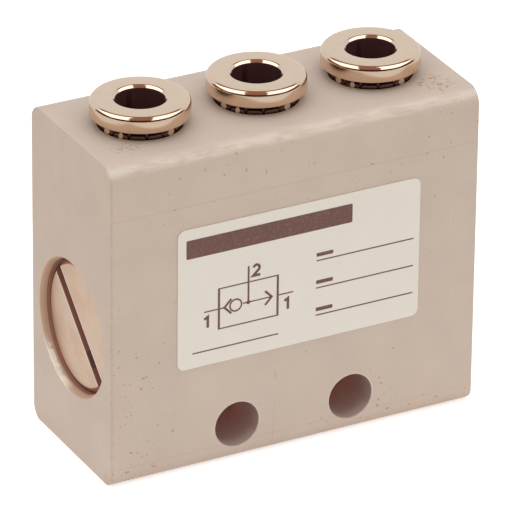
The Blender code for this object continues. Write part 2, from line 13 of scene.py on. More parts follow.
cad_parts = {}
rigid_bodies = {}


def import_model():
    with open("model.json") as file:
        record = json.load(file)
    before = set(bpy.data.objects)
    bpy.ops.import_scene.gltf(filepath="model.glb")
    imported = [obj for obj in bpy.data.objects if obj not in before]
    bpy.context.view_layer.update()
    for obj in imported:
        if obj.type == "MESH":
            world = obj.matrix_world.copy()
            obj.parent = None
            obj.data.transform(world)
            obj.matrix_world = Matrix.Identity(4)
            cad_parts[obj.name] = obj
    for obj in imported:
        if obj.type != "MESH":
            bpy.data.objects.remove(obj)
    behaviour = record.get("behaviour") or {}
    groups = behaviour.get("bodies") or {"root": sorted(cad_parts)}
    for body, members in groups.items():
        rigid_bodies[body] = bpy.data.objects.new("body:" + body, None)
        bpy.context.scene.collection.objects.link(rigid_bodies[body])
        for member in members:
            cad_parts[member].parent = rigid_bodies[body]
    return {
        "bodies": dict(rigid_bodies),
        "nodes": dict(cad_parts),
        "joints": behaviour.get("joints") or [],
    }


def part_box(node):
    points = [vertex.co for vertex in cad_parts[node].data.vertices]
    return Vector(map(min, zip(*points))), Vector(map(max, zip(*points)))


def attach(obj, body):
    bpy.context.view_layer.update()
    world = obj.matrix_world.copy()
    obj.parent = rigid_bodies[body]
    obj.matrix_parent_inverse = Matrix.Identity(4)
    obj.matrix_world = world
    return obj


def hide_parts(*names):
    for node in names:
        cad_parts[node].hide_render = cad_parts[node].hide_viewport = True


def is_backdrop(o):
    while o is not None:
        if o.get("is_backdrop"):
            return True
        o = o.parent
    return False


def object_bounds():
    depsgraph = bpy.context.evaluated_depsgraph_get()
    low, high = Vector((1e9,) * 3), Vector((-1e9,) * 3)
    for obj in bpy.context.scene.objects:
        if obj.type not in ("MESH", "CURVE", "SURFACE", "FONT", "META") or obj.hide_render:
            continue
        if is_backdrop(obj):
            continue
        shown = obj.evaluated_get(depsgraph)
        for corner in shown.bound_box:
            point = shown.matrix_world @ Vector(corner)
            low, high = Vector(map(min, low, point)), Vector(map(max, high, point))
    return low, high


bl_info = {
    "name": "Shuttle valve looks",
    "version": (1, 0, 0),
    "blender": (4, 5, 0),
    "location": "3D View > Sidebar > Valve",
    "description": "Dresses the shuttle valve's frame with fine pieces, finishes and a studio",
    "category": "Object",
}

for start_up_thing in list(bpy.data.objects):
    bpy.data.objects.remove(start_up_thing, do_unlink=True)
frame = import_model()
CAD_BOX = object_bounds()

MM = 0.001
VALVE_BODY = "valve_body"
RING_BODIES = ("left_release_ring", "middle_release_ring", "right_release_ring")

# Facets round a full turn, and steps of a rounding
BORE_TURN = 128
RING_TURN = 144
SMALL_TURN = 96
CORD_SIDES = 20
EDGE_STEPS = 3
ROUNDING_STEPS = 10
OVERCUT = 1.0 * MM
SHARP_ANGLE = math.radians(28)

# Where the middle point of an eased corner lies, in edge breaks off the corner
EASED = 0.3

# Point of the bore's drill: its blunt tip and its length, in radii
POINT_TIP = 0.04
POINT_LENGTH = 0.58

# Small fits inside the valve
PASSAGE_OVERRUN = 0.2 * MM  # the bore's end, past the passage under the last port
TUBE_STOP_GAP = 0.1 * MM  # round the tube, under its seal
TUBE_STOP_DEPTH = 2.0 * MM  # from the seal's pocket to the tube's stop
GROOVE_FLOOR_GAP = 0.02 * MM  # from the plug's O-ring to the floor of its groove
GROOVE_SIDE_GAP = 0.08 * MM  # from the plug's O-ring to the sides of its groove
FLANGE_ROOT = 0.12 * MM  # rounding between a ring's stem and its flange
CLAW_BITE = 0.03 * MM  # how far the claws' fingers reach inside the tube's radius
WASHER_GAP = 0.12 * MM  # from the tube to a support washer
FINGER_ROOM = 0.15 * MM  # for the fingers to bend, over a washer's cone
FILM_EASE = 0.02 * MM  # eased edge of the label's film

# The label's print, in millimetres
THIN_LINE = 0.11
STEM_LINE = 0.17
BOLD_LINE = 0.2
BALL_LINE = 0.14
BALL_TURN = 48
MITRE_LIMIT = 0.3  # least share of a line's half width that a bend is drawn out by
INK_SLOT = 1  # the ink's place among the label's materials

LABEL_HEADER = (-2.9, 4.7, 15.8, 1.75, 0.12)  # middle, width, height and corner
LABEL_FIELDS = ((1.6, 0.9, 9.4), (1.6, -1.7, 9.4), (1.6, -4.3, 9.4), (-10.2, -5.2, 8.2))
LABEL_CAPTIONS = ((2.4, 1.45), (2.4, -1.15), (2.4, -3.75))
CAPTION_BAR = (1.6, 0.34, 0.05)
DIGIT_HEIGHT = 1.15
DIGIT_LINE = 0.24

# Plug's thread: rows of points to a pitch, and rows over which its ends fade
THREAD_ROWS = 8
THREAD_FADE = 2

# Rubbed edges of the driver slot: width in edge breaks, and the least angle that counts as an edge
RUBBED_WIDTH = 0.8
RUBBED_ANGLE = math.radians(75)

# One tooth of a collar and the flute after it: place in teeth, and depth in flute depths
TOOTH_CREST = tuple((-0.42 + 0.105 * i, 0.0) for i in range(9))
TOOTH_FLUTE = ((0.44, 0.2), (0.47, 0.9), (0.5, 1.0), (0.53, 0.9), (0.56, 0.2))

# Studio: the floor and the camera's reach in metres, its sensor in millimetres
FLOOR_RADIUS = 4.0
FLOOR_TURN = 64
NEAREST, FARTHEST = 0.05, 20.0
SENSOR_WIDTH = 36.0
WHITE = (1.0, 1.0, 1.0, 1.0)
BLACK = (0.0, 0.0, 0.0, 1.0)


def length(name, description, millimetres):
    """Size that a user can change, given in millimetres."""
    return bpy.props.FloatProperty(
        name=name,
        description=description,
        default=millimetres * MM,
        min=0.0,
        subtype="DISTANCE",
        unit="LENGTH",
        precision=5,
    )


def angle(name, description, degrees):
    """Angle that a user can change, given in degrees."""
    return bpy.props.FloatProperty(
        name=name,
        description=description,
        default=math.radians(degrees),
        subtype="ANGLE",
        unit="ROTATION",
    )


def share(name, description, value, most=1.0):
    """Plain number that a user can change."""
    return bpy.props.FloatProperty(
        name=name, description=description, default=value, min=0.0, max=most, subtype="FACTOR"
    )


def colour(name, description, red, green, blue):
    """Colour that a user can change, as linear light."""
    return bpy.props.FloatVectorProperty(
        name=name,
        description=description,
        default=(red, green, blue, 1.0),
        size=4,
        min=0.0,
        max=1.0,
        subtype="COLOR",
    )


class ValveSizes(bpy.types.PropertyGroup):
    """Sizes of the fine pieces that the frame's boxes don't give."""

    fit_gap: length("Fit gap", "Gap between pieces that seat in each other", 0.05)
    running_gap: length("Running gap", "Gap between round pieces that slide", 0.1)
    edge_break: length("Edge break", "Rounding of the machined edges", 0.07)
    top_rounding: length("Top rounding", "Radius of the block's long upper edges", 1.45)
    bottom_rounding: length("Bottom rounding", "Radius of the block's long lower edges", 1.25)
    mouth_chamfer: length("Mouth chamfer", "Widening at the plug's mouth", 0.2)
    mouth_depth: length("Mouth depth", "Depth of the widening at the plug's mouth", 0.45)
    fixing_diameter: length("Fixing hole", "Diameter of the two plain cross holes", 4.2)
    fixing_height: length("Fixing height", "Height of the cross holes' axes", 3.4)
    port_drill: length("Port drill", "Diameter of the passage under a port", 2.4)
    seat_bore: length("Seat bore", "Diameter of the air passage through a seat", 4.0)
    seat_lip: length("Seat lip", "Width of the flat lip that the shuttle seals on", 0.6)
    seat_flare: length("Seat flare", "Widening from a seat's lip to its foot", 0.8)
    seat_height: length("Seat height", "Height of a seat over its foot", 0.9)
    chamber_margin: length("Chamber margin", "From a seat's foot to the chamber's wall", 0.9)
    neck_length: length("Plug neck", "Length of the plug's neck with its O-ring", 1.71)
    plug_chamfer: length("Plug chamfer", "Chamfer round the plug's face", 0.48)
    slot_width: length("Slot width", "Width of the plug's driver slot", 1.15)
    slot_depth: length("Slot depth", "Depth of the plug's driver slot", 1.2)
    slot_tilt: angle("Slot tilt", "Turn of the slot from upright, top to the rear", 47.0)
    thread_pitch: length("Thread pitch", "Pitch of the plug's fine thread", 1.0)
    thread_depth: length("Thread depth", "Depth of the plug's thread", 0.5)
    tube_diameter: length("Tube diameter", "Outer diameter of the tube that a port takes", 4.0)
    tube_gap: length("Tube gap", "From the tube to a release ring's bore", 0.15)
    stem_wall: length("Stem wall", "Wall of a release ring's stem", 0.4)
    bead_height: length("Bead height", "Height of the bead round a ring's skirt", 0.4)
    bead_land: length("Bead land", "Length of the bead's full height", 0.3)
    bead_taper: length("Bead taper", "Length of the slope under the bead", 0.45)
    bead_gap: length("Bead gap", "From the bead to the collar's relief", 0.2)
    flange_thickness: length("Flange thickness", "Thickness of a release ring's flange", 1.45)
    flange_rounding: length("Flange rounding", "Radius of the flange's upper edge", 0.45)
    mouth_rounding: length("Mouth rounding", "Radius of the rounding in a ring's mouth", 0.28)
    mouth_sweep: angle("Mouth sweep", "How far the mouth's rounding turns down", 42.0)
    mouth_slope: length("Mouth slope", "Length of the slope under the mouth's rounding", 0.2)
    flange_break: length("Flange break", "Rounding of the flange's lower edge", 0.1)
    nose_chamfer: length("Nose chamfer", "Chamfer on the nose of a ring's skirt", 0.2)
    skirt_slot: length("Skirt slot", "Width of the slots in a ring's skirt", 0.5)
    skirt_rise: length("Skirt slot rise", "How far a skirt's slots rise over its bead", 0.5)
    flute_depth: length("Flute depth", "Depth of the collars' flutes", 0.16)
    collar_chamfer: length("Collar chamfer", "Chamfer at a collar's ends", 0.12)
    collar_lip: length("Collar lip", "Length of the lip that guides a ring", 1.6)
    claw_thickness: length("Claw thickness", "Thickness of a gripping claw's sheet", 0.2)
    claw_slope: angle("Claw slope", "Slope of a claw's fingers", 39.0)
    claw_slit: length("Claw slit", "Width of the slits between a claw's fingers", 0.35)
    seal_cord: length("Seal cord", "Cord diameter of a tube seal", 1.35)
    label_corner: length("Label corner", "Radius of the label's corners", 0.7)
    print_height: length("Print height", "How far the label's ink stands up", 0.015)
    collar_teeth: bpy.props.IntProperty(
        name="Collar teeth", description="Teeth round a collar", default=15, min=8, max=90
    )
    claw_fingers: bpy.props.IntProperty(
        name="Claw fingers", description="Fingers of a gripping claw", default=6, min=3, max=12
    )
    skirt_slots: bpy.props.IntProperty(
        name="Skirt slots", description="Slots in a ring's skirt", default=4, min=2, max=8
    )


class ValveFinishes(bpy.types.PropertyGroup):
    """Colours of the valve's finishes."""

    block: colour("Block", "Blasted aluminium of the block", 0.61, 0.50, 0.42)
    # Stain also tints the painted warm reflection at the front's foot and the painted warm light
    # round the ports
    stain: colour("Stain", "Orange brown of the block's flecks and stains", 0.46, 0.24, 0.10)
    graze: colour("Graze", "Dull brown of the block's grazes", 0.34, 0.22, 0.17)
    # Scrape also paints the highlights on the cross holes' upper rims
    scrape_and_highlight: colour("Scrape", "Pale metal where the block's edges are rubbed", 0.77, 0.70, 0.61)
    # Glint also paints the highlights along the plug's slot edges
    glint: colour("Glint", "Fresh metal of scrapes and slot edges", 0.88, 0.81, 0.70)
    # Darker than raw metal alone: it also paints the shade inside the cross holes
    raw_metal_and_shade: colour("Raw", "Raw metal inside the cross holes", 0.32, 0.175, 0.165)
    plug: colour("Plug", "Turned face of the end plug", 0.60, 0.43, 0.31)
    slot: colour("Slot", "Raw metal inside the plug's slot", 0.44, 0.20, 0.16)
    plate: colour("Plate", "Bright plate of the release rings", 0.67, 0.53, 0.41)
    # Brushed also colours the painted glints on the collars' teeth
    brushed: colour("Brushed", "Brushed plate round the rings' flanges", 0.72, 0.53, 0.39)
    # Bore is darker than dull metal alone: it also paints the shade in the rings' bores
    bore: colour("Bore", "Dull metal in the rings' bores", 0.34, 0.17, 0.17)
    # Collar is darkened as painted shade under the rings' flanges
    collar: colour("Collar", "Dark plate of the fluted collars", 0.13, 0.072, 0.064)
    brass: colour("Brass", "Turned brass inside the valve", 0.62, 0.42, 0.18)
    steel: colour("Steel", "Spring steel of the gripping claws", 0.56, 0.50, 0.45)
    resin: colour("Resin", "Moulded resin of shuttle and washers", 0.66, 0.60, 0.52)
    rubber: colour("Rubber", "Nitrile rubber of the seals", 0.018, 0.014, 0.013)
    film: colour("Film", "Film of the label", 0.785, 0.725, 0.645)
    ink: colour("Ink", "Ink of the label's print", 0.15, 0.055, 0.04)


class ValveStudio(bpy.types.PropertyGroup):
    """Camera, lamps and backdrop."""

    azimuth: angle("Azimuth", "Camera's turn round the valve, to the left of the front", 28.1617)
    elevation: angle("Elevation", "Camera's height over the horizon", 27.0726)
    roll: angle("Roll", "Camera's turn about its own line of sight", 0.6177)
    distance: length("Distance", "From the camera to the valve's middle", 507.538)
    shift_right: length("Shift right", "Camera's sideways move", 0.1277)
    shift_down: length("Shift down", "Camera's downward move", 0.1851)
    lens: bpy.props.FloatProperty(
        name="Lens", description="Focal length", default=416.419, unit="CAMERA", precision=3
    )
    panel_brightness: share("Panel brightness", "Light of the two overhead panels", 2.0, 10.0)
    panel_height: length("Panel height", "Height of the overhead panels over the valve", 250.0)
    panel_gap: share("Panel gap", "Half of the gap between the panels, in heights", 0.22, 4.0)
    panel_width: share("Panel width", "Width of a panel, in heights", 1.6, 9.0)
    panel_front: share("Panel front", "Reach of the panels toward the camera, in heights", 1.5, 4.0)
    panel_rear: share("Panel rear", "Reach of the panels to the rear, in heights", 0.3, 4.0)
    panel_splay: angle("Panel splay", "Turn of the panels away from each other", 18.0)
    sky: colour("Sky", "Soft light from above", 0.90, 0.96, 1.0)
    sky_gain: share("Sky gain", "Strength of the soft light from above", 1.36, 4.0)
    side_light: colour("Side light", "Soft light from the walls", 0.62, 0.50, 0.39)
    backdrop: colour("Backdrop", "What metal mirrors of the pale backdrop", 0.95, 0.95, 0.95)
    ceiling: colour("Ceiling", "What metal mirrors of the studio's dim ceiling", 0.38, 0.19, 0.13)
    wall: colour("Wall", "What metal mirrors of the studio's dim walls", 0.22, 0.107, 0.085)
    horizon: colour("Horizon", "Dark rim low behind the camera, seen in metal", 0.03, 0.012, 0.01)
    floor: colour("Floor", "Floor under the valve", 0.86, 0.86, 0.86)
    floor_glow: colour("Floor glow", "What the floor by the valve sends up to it", 0.26, 0.29, 0.33)
    floor_lift: colour("Floor lift", "What the floor adds for the camera", 0.50, 0.50, 0.50)


class Value:
    """Output of a shader node that Python expressions can use; an operator adds a Math node."""

    def __init__(self, shader, socket):
        self.shader = shader
        self.socket = socket

    def __add__(self, other):
        return self.shader.math("ADD", self, other)

    def __sub__(self, other):
        return self.shader.math("SUBTRACT", self, other)

    def __rsub__(self, other):
        return self.shader.math("SUBTRACT", other, self)

    def __mul__(self, other):
        return self.shader.math("MULTIPLY", self, other)

    def __truediv__(self, other):
        return self.shader.math("DIVIDE", self, other)

    def __pow__(self, other):
        return self.shader.math("POWER", self, other)

    __radd__ = __add__
    __rmul__ = __mul__


class Shader:
    """Node tree of a material or of the world, written as Python calls."""

    def __init__(self, owner):
        owner.use_nodes = True
        self.owner = owner
        self.tree = owner.node_tree

    def node(self, kind, settings, sockets, output=0):
        """Add a node, set it up, feed its sockets and give one of its outputs."""
        made = self.tree.nodes.new(kind)
        for name, value in settings.items():
            if name == "stops":
                self.set_stops(made.color_ramp, value)
            else:
                setattr(made, name, value)
        for name, value in sockets.items():
            self.feed(made.inputs[name], value)
        return Value(self, made.outputs[output])

    def feed(self, socket, value):
        """Link a value to a socket, or set the socket's own number or colour."""
        if isinstance(value, Value):
            self.tree.links.new(value.socket, socket)
        else:
            socket.default_value = value

    @staticmethod
    def set_stops(ramp, stops):
        """Give a ramp its stops, as places with colours."""
        while len(ramp.elements) > 1:
            ramp.elements.remove(ramp.elements[-1])
        ramp.elements[0].position, ramp.elements[0].color = stops[0]
        for place, stop_colour in stops[1:]:
            ramp.elements.new(place).color = stop_colour

    def math(self, operation, first, second=0.0, third=0.0):
        """One Math node."""
        return self.node(
            "ShaderNodeMath", {"operation": operation}, {0: first, 1: second, 2: third}
        )

    def vector(self, operation, first, second=(0.0, 0.0, 0.0), output=0):
        """One Vector Math node."""
        return self.node(
            "ShaderNodeVectorMath", {"operation": operation}, {0: first, 1: second}, output
        )

    def mix(self, factor, first, second):
        """Blend of two colours."""
        return self.node(
            "ShaderNodeMix", {"data_type": "RGBA"}, {0: factor, 6: first, 7: second}, 2
        )

    def step(self, value, low, high):
        """Smooth rise from 0 at low to 1 at high."""
        return self.node(
            "ShaderNodeMapRange",
            {"interpolation_type": "SMOOTHSTEP"},
            {"Value": value, "From Min": low, "From Max": high},
        )

    def fall(self, value, low, high):
        """Smooth fall from 1 at low to 0 at high."""
        return self.step(value, high, low)

    def position(self):
        """Place on the piece, in millimetres."""
        place = self.node("ShaderNodeTexCoord", {}, {}, "Object")
        return self.vector("MULTIPLY", place, (1 / MM,) * 3)

    def split(self, place):
        """The three coordinates of a place."""
        return [self.node("ShaderNodeSeparateXYZ", {}, {0: place}, name) for name in "XYZ"]

    def join(self, x=0.0, y=0.0, z=0.0):
        """A place from its coordinates."""
        return self.node("ShaderNodeCombineXYZ", {}, {0: x, 1: y, 2: z})

    def stretch(self, place, x, y, z):
        """A place scaled along each axis, to draw a texture out."""
        return self.vector("MULTIPLY", place, (x, y, z))

    def noise(self, place, scale, detail=3.0, roughness=0.55):
        """Soft noise from 0 to 1, its scale in features a millimetre."""
        return self.node(
            "ShaderNodeTexNoise",
            {},
            {"Vector": place, "Scale": scale, "Detail": detail, "Roughness": roughness},
        )

    def specks(self, place, scale, density, small, large):
        """Round specks scattered at random, each with a size and strength of its own."""
        sockets = {"Vector": place, "Scale": scale}
        reach = self.node("ShaderNodeTexVoronoi", {}, sockets, "Distance")
        chance = self.node("ShaderNodeTexVoronoi", {}, sockets, "Color")
        lot, size, strength = self.split(chance)
        radius = size * (large - small) + small
        edge = reach / (radius * scale)
        here = self.math("LESS_THAN", lot, density)
        return here * self.fall(edge, 0.55, 1.0) * (strength * 0.6 + 0.4)

    def spots(self, place, spots):
        """Soft oval spots, each from its middle and its half sizes along the three axes."""
        found = 0.0
        for centre, (half_x, half_y, half_z) in spots:
            away = self.vector("SUBTRACT", place, centre)
            shape = self.stretch(away, 1 / half_x, 1 / half_y, 1 / half_z)
            reach = self.vector("LENGTH", shape, output="Value")
            found = self.math("MAXIMUM", found, self.fall(reach, 0.5, 1.1))
        return found

    def line(self, along, across, start, end, offset, half_width):
        """Soft short line in a plane: where it runs along one axis, and its place on the other."""
        side = self.math("ABSOLUTE", across - offset)
        inside = self.step(along, start, start + 0.15) * self.fall(along, end - 0.15, end)
        return inside * self.fall(side, half_width * 0.4, half_width)

    def lit(self, base, tone):
        """A colour made lighter or darker by a tone round 0."""
        return self.node("ShaderNodeHueSaturation", {}, {"Value": tone + 1.0, "Color": base})

    def bump(self, height, depth):
        """Normal from a height field whose full depth is in millimetres."""
        return self.node("ShaderNodeBump", {}, {"Height": height, "Distance": depth * MM})

    def surface(self, **inputs):
        """Feed the Principled shader's sockets, named with underscores for spaces."""
        principled = self.tree.nodes["Principled BSDF"]
        for name, value in inputs.items():
            self.feed(principled.inputs[name.replace("_", " ")], value)
        return self.owner


def new_shader(name):
    """Shader of a new material, and the place on the piece in it."""
    shader = Shader(bpy.data.materials.new(name))
    return shader, shader.position()


# Chips and stains that stand out on the block's front: middle across and up, half width and height
FRONT_CHIPS = (
    (-14.5, 10.0, 0.20, 0.13),
    (-14.2, 10.1, 0.10, 0.08),
    (-14.7, 9.05, 0.17, 0.14),
    (-16.0, 1.35, 0.30, 0.11),
    (-16.5, 1.15, 0.11, 0.10),
    (-13.5, 1.30, 0.28, 0.10),
    (-15.7, 3.15, 0.22, 0.08),
    (-15.1, 3.00, 0.13, 0.10),
    (-13.0, 11.1, 0.12, 0.11),
    (-11.7, 4.30, 0.12, 0.20),
    (7.38, 5.56, 0.10, 0.10),
    (8.34, 4.51, 0.16, 0.12),
    (8.45, 3.98, 0.15, 0.12),
    (8.80, 2.86, 0.10, 0.10),
    (8.24, 2.46, 0.13, 0.18),
    (8.13, 1.90, 0.15, 0.13),
    (9.11, 1.36, 0.18, 0.11),
    (11.3, 1.25, 0.15, 0.10),
    (14.0, 1.30, 0.28, 0.09),
    (9.59, 7.12, 0.11, 0.11),
    (12.5, 25.1, 0.15, 0.12),
    (12.6, 26.7, 0.11, 0.12),
    (7.17, 25.3, 0.20, 0.09),
    (14.1, 24.4, 0.10, 0.10),
    (13.4, 20.9, 0.09, 0.10),
    (-11.1, 28.0, 0.09, 0.11),
    (-8.70, 28.2, 0.07, 0.20),
    (-6.94, 27.4, 0.10, 0.10),
    (-6.61, 28.2, 0.08, 0.08),
    (-5.77, 29.1, 0.10, 0.12),
    (-4.89, 27.4, 0.07, 0.24),
    (-2.94, 26.8, 0.08, 0.22),
    (-0.57, 29.0, 0.09, 0.10),
)

# Grazed patches and scars on the block's top: middle along and across, half length and depth
TOP_PATCHES = ((14.9, -4.6, 1.9, 2.2), (-14.4, -4.1, 1.5, 1.4))
TOP_SCARS = (
    (13.4, -4.35, 0.22, 0.28),
    (13.8, -3.95, 0.35, 0.14),
    (14.9, -3.6, 0.25, 0.22),
    (15.0, -5.0, 0.40, 0.25),
)

# Wall of the plug's mouth from its rim inwards, darkened inwards as painted shade with a thin
# painted shadow line just past the step: place on the wall and colour
MOUTH_WALL_SHADED = (
    (0.0, (0.62, 0.43, 0.31, 1.0)),
    (0.40, (0.56, 0.37, 0.26, 1.0)),
    (0.44, (0.30, 0.13, 0.09, 1.0)),
    (0.50, (0.40, 0.20, 0.14, 1.0)),
    (1.0, (0.26, 0.12, 0.09, 1.0)),
)
MOUTH_WALL_DEPTH = 1.4


def fleck_density(shader, x, z, left, hole_x, from_hole):
    """How thick the front's flecks lie, most by the near edge and round the right cross hole."""
    near_edge = shader.fall(x - left, 1.0, 8.5) * shader.fall(z, 9.0, 20.0)
    by_hole = shader.fall(from_hole, 2.5, 4.2) * shader.step(hole_x, -3.0, 1.5)
    foot = shader.fall(z, 1.4, 2.6)
    head = shader.step(z, 23.0, 25.5) * shader.step(x, 4.0, 12.0)
    return near_edge * 0.42 + by_hole * 0.40 + foot * 0.10 + head * 0.08 + 0.04


def tool_marks(shader, place, x, z, left):
    """Tool lines on the front face, a short scratch and a brown tick over it."""
    sway = (shader.noise(place, 0.5, 1.0) - 0.5) * 0.08
    tool_line = shader.line(x, z + sway, left, -left, 25.2, 0.09) * 0.5
    foot_line = shader.line(x, z + sway, left, -left, 1.75, 0.08) * 0.35
    scratch = shader.line(z, x + z * -0.04, 0.3, 4.8, -2.13, 0.06) * 0.5
    tick = shader.line(z, x + z * -0.06, 6.9, 7.8, -2.34, 0.10)
    return tool_line + foot_line + scratch + tick


def mouth_crescent(shader, place, depth, y, rise, from_axis):
    """Bright crescent low on the rear side of the plug's mouth."""
    bearing = shader.math("ARCTAN2", rise, y) * math.degrees(1)
    swept = shader.step(bearing, -92.0, -70.0) * shader.fall(bearing, -44.0, -28.0)
    drift = shader.noise(place, 0.9, 3.0)
    off_rim = shader.math("ABSOLUTE", from_axis - 6.16 + (drift - 0.5) * 0.8)
    crescent = swept * shader.fall(off_rim, 0.08, 0.26) * shader.fall(depth, 0.3, 0.5)
    return crescent * (shader.step(drift, 0.35, 0.55) * 0.5 + 0.5)


def block_finish(sizes, colours):
    """Blasted aluminium: fine grain, blotches, brown flecks, rubbed upper edges and a few marks."""
    shader, place = new_shader("blasted_aluminium")
    x, y, z = shader.split(place)
    left = CAD_BOX[0].x / MM
    front = -half_size("body_block", 1) / MM
    top = block_top() / MM
    pitch = middle("release_ring_3").x / MM
    hole_r = sizes.fixing_diameter / 2 / MM

    on_front = shader.fall(y, front + 0.02, front + 0.3)
    on_top = shader.step(z, top - 0.3, top - 0.02)
    blotch = shader.noise(place, 0.22, 2.0)
    mottle = shader.noise(place, 4.5, 4.0, 0.6)
    grain = shader.noise(place, 26.0, 2.0, 0.7)
    tone = (blotch - 0.5) * 0.14 + (mottle - 0.5) * 0.10 + (grain - 0.5) * 0.08

    # Flecks and dust all over the front, and the larger chips in their places
    hole_x = x - pitch / 2
    hole_z = z - sizes.fixing_height / MM
    from_hole = (hole_x * hole_x + hole_z * hole_z) ** 0.5
    density = fleck_density(shader, x, z, left, hole_x, from_hole) * on_front
    flecks = shader.specks(place, 1.9, density, 0.06, 0.13)
    dust = shader.specks(place, 4.2, density * 1.3, 0.03, 0.07)
    wander = shader.noise(place, 3.0, 2.0, 0.6)
    ragged = shader.join(wander - 0.5, 0.0, 0.5 - wander)
    ragged = shader.vector("ADD", place, shader.stretch(ragged, 0.3, 0.3, 0.3))
    chips = shader.spots(ragged, [((u, front, v), (a, 0.5, b)) for u, v, a, b in FRONT_CHIPS])

    # Rubbed long edge between top and front, pocked towards the right, and grazes on the top
    on_edge = shader.step(z, top - 1.0, top - 0.55) * shader.fall(y, front + 0.55, front + 1.1)
    rub = shader.noise(shader.stretch(place, 0.45, 1.8, 1.8), 1.0, 4.0, 0.6)
    rubbed = on_edge * shader.step(rub, 0.34, 0.60)
    graze_field = shader.noise(shader.stretch(place, 1.5, 1.0, 1.0), 1.9, 4.0, 0.7)
    patch = shader.spots(place, [((u, v, top), (a, b, 1.0)) for u, v, a, b in TOP_PATCHES])
    scars = shader.spots(ragged, [((u, v, top), (a, b, 0.5)) for u, v, a, b in TOP_SCARS])
    pocks = shader.specks(place, 2.6, shader.step(x, -2.0, 14.0) * 0.3 + 0.06, 0.04, 0.11)
    grazes = shader.step(graze_field, 0.52, 0.60) * patch * on_top + pocks * on_edge

    # The ports' plate throws a warm light on the top
    from_port = (shader.math("WRAP", x, pitch / 2, -pitch / 2) ** 2 + y * y) ** 0.5
    warmed = shader.fall(from_port, 3.5, 4.5) * on_top * 0.22

    # Lines on the front, and the chipped near upright edge
    lines = tool_marks(shader, place, x, z, left) * on_front
    corner = shader.fall(x - left, 0.03, 0.3) * shader.fall(y, front + 0.03, front + 0.3)
    worn_corner = corner * shader.step(shader.noise(place, 2.4, 3.0), 0.40, 0.56)

    # Raw metal inside the cross holes, darkened further as painted shade, with painted light on the
    # middle and lower front of their walls, and painted highlights on their upper rims
    from_left_hole = ((x + pitch / 2) ** 2 + hole_z ** 2) ** 0.5
    nearest = shader.math("MINIMUM", from_left_hole, from_hole)
    inside = shader.fall(shader.math("ABSOLUTE", y), -front - 0.25, -front - 0.05)
    raw_metal_and_shade = shader.fall(nearest, hole_r + 0.02, hole_r + 0.06) * inside
    # Painted light on the holes' walls: lighter in their middle (deep) and on their lower front
    # (lip)
    deep = shader.step(y, front + 0.6, front + 5.5) * shader.fall(y, 0.5, 5.5)
    lip = shader.fall(y, front + 0.4, front + 1.9) * shader.fall(hole_z, -1.7, -0.7)
    # Painted highlights on the upper rims of the cross holes
    rim = shader.fall(nearest, hole_r + 0.07, hole_r + 0.14) * (1.0 - raw_metal_and_shade)
    rim = rim * shader.step(hole_z, -1.6, 0.4)

    # Stepped wall of the plug's mouth, darkened inwards as painted shade, and a bright crescent low
    # on its rear side
    depth = x - left
    rise = z - middle("end_plug").z / MM
    from_axis = (y * y + rise ** 2) ** 0.5
    in_mouth = shader.fall(depth, 1.6, 2.0) * shader.fall(from_axis, 6.19, 6.24)
    wall = shader.node(
        "ShaderNodeValToRGB", {"stops": MOUTH_WALL_SHADED}, {0: depth / MOUTH_WALL_DEPTH}
    )
    crescent = mouth_crescent(shader, place, depth, y, rise, from_axis)

    marks = flecks + dust * 0.6 + chips + scars + lines * 0.45
    marks = marks + worn_corner * 0.28 + corner * 0.12
    stained = shader.math("MINIMUM", marks, 1.0)
    base = shader.mix(rubbed * 0.52, shader.lit(colours.block, tone), colours.scrape_and_highlight)
    base = shader.mix(shader.math("MINIMUM", grazes, 1.0) * 0.65, base, colours.graze)
    # Painted warm reflection along the foot of the front
    foot_glow = shader.fall(z, 0.1, 1.6) * shader.fall(y, front + 1.3, front + 1.6) * 0.24
    base = shader.mix(foot_glow + warmed, base, colours.stain)
    base = shader.mix(stained * 0.68, base, colours.stain)
    base = shader.mix(rim * 0.6, base, colours.scrape_and_highlight)
    base = shader.mix(in_mouth, base, wall)
    base = shader.mix(crescent, base, colours.glint)
    return shader.surface(
        Base_Color=shader.mix(raw_metal_and_shade * (0.66 - lip * 0.3), base, shader.lit(colours.raw_metal_and_shade, deep * 1.7)),
        Metallic=0.1,
        Roughness=(mottle - 0.5) * 0.12 + 0.68,
        Specular_IOR_Level=0.2,
        Normal=shader.bump(grain * 0.6 + mottle - stained * 0.8 - grazes * 0.3, 0.006),
    )


def plug_finish(colours, slot_half, tilt):
    """Turned face with rings, a cross-brushed stain, painted highlights along the slot's edges and
    painted shade on its chamfer.
    """
    shader, place = new_shader("turned_plug")
    x, y, z = shader.split(place)
    reach = (y * y + z * z) ** 0.5
    rings = shader.noise(shader.join(reach, x), 9.0, 3.0, 0.7)
    streaks = shader.noise(shader.stretch(place, 1.0, 0.5, 2.0), 1.3, 4.0, 0.6)
    stain = shader.step(shader.noise(place, 0.45, 3.0), 0.42, 0.66)
    tone = (rings - 0.5) * 0.12 + (streaks - 0.5) * 0.14
    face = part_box("end_plug")[0].x / MM
    in_slot = shader.step(x - face, 0.04, 0.08)
    across = shader.math("ABSOLUTE", y * math.cos(tilt) - z * math.sin(tilt))
    along = y * math.sin(tilt) + z * math.cos(tilt)
    # Painted highlights along the slot's edges
    edge = shader.fall(across, slot_half + 0.05, slot_half + 0.13) * (1.0 - in_slot)
    # A darker patch low in the slot
    dark_slot_patch = shader.step(along, -3.9, -3.6) * shader.fall(along, -2.25, -2.1)
    # Painted shade on the plug's chamfer, beside the gap round the plug
    rim = shader.step(reach, 5.3, 5.45)
    base = shader.mix(stain * 0.25 + rim * 0.2, shader.lit(colours.plug, tone), colours.stain)
    base = shader.mix(edge * 0.85, base, colours.glint)
    dark = shader.mix(dark_slot_patch * 0.55, colours.slot, colours.collar)
    return shader.surface(
        Base_Color=shader.mix(in_slot, base, dark),
        Metallic=1.0 - in_slot * 0.6 - edge * 0.85,
        Roughness=(streaks - 0.5) * 0.14 + 0.36,
        Normal=shader.bump(rings, 0.004),
    )


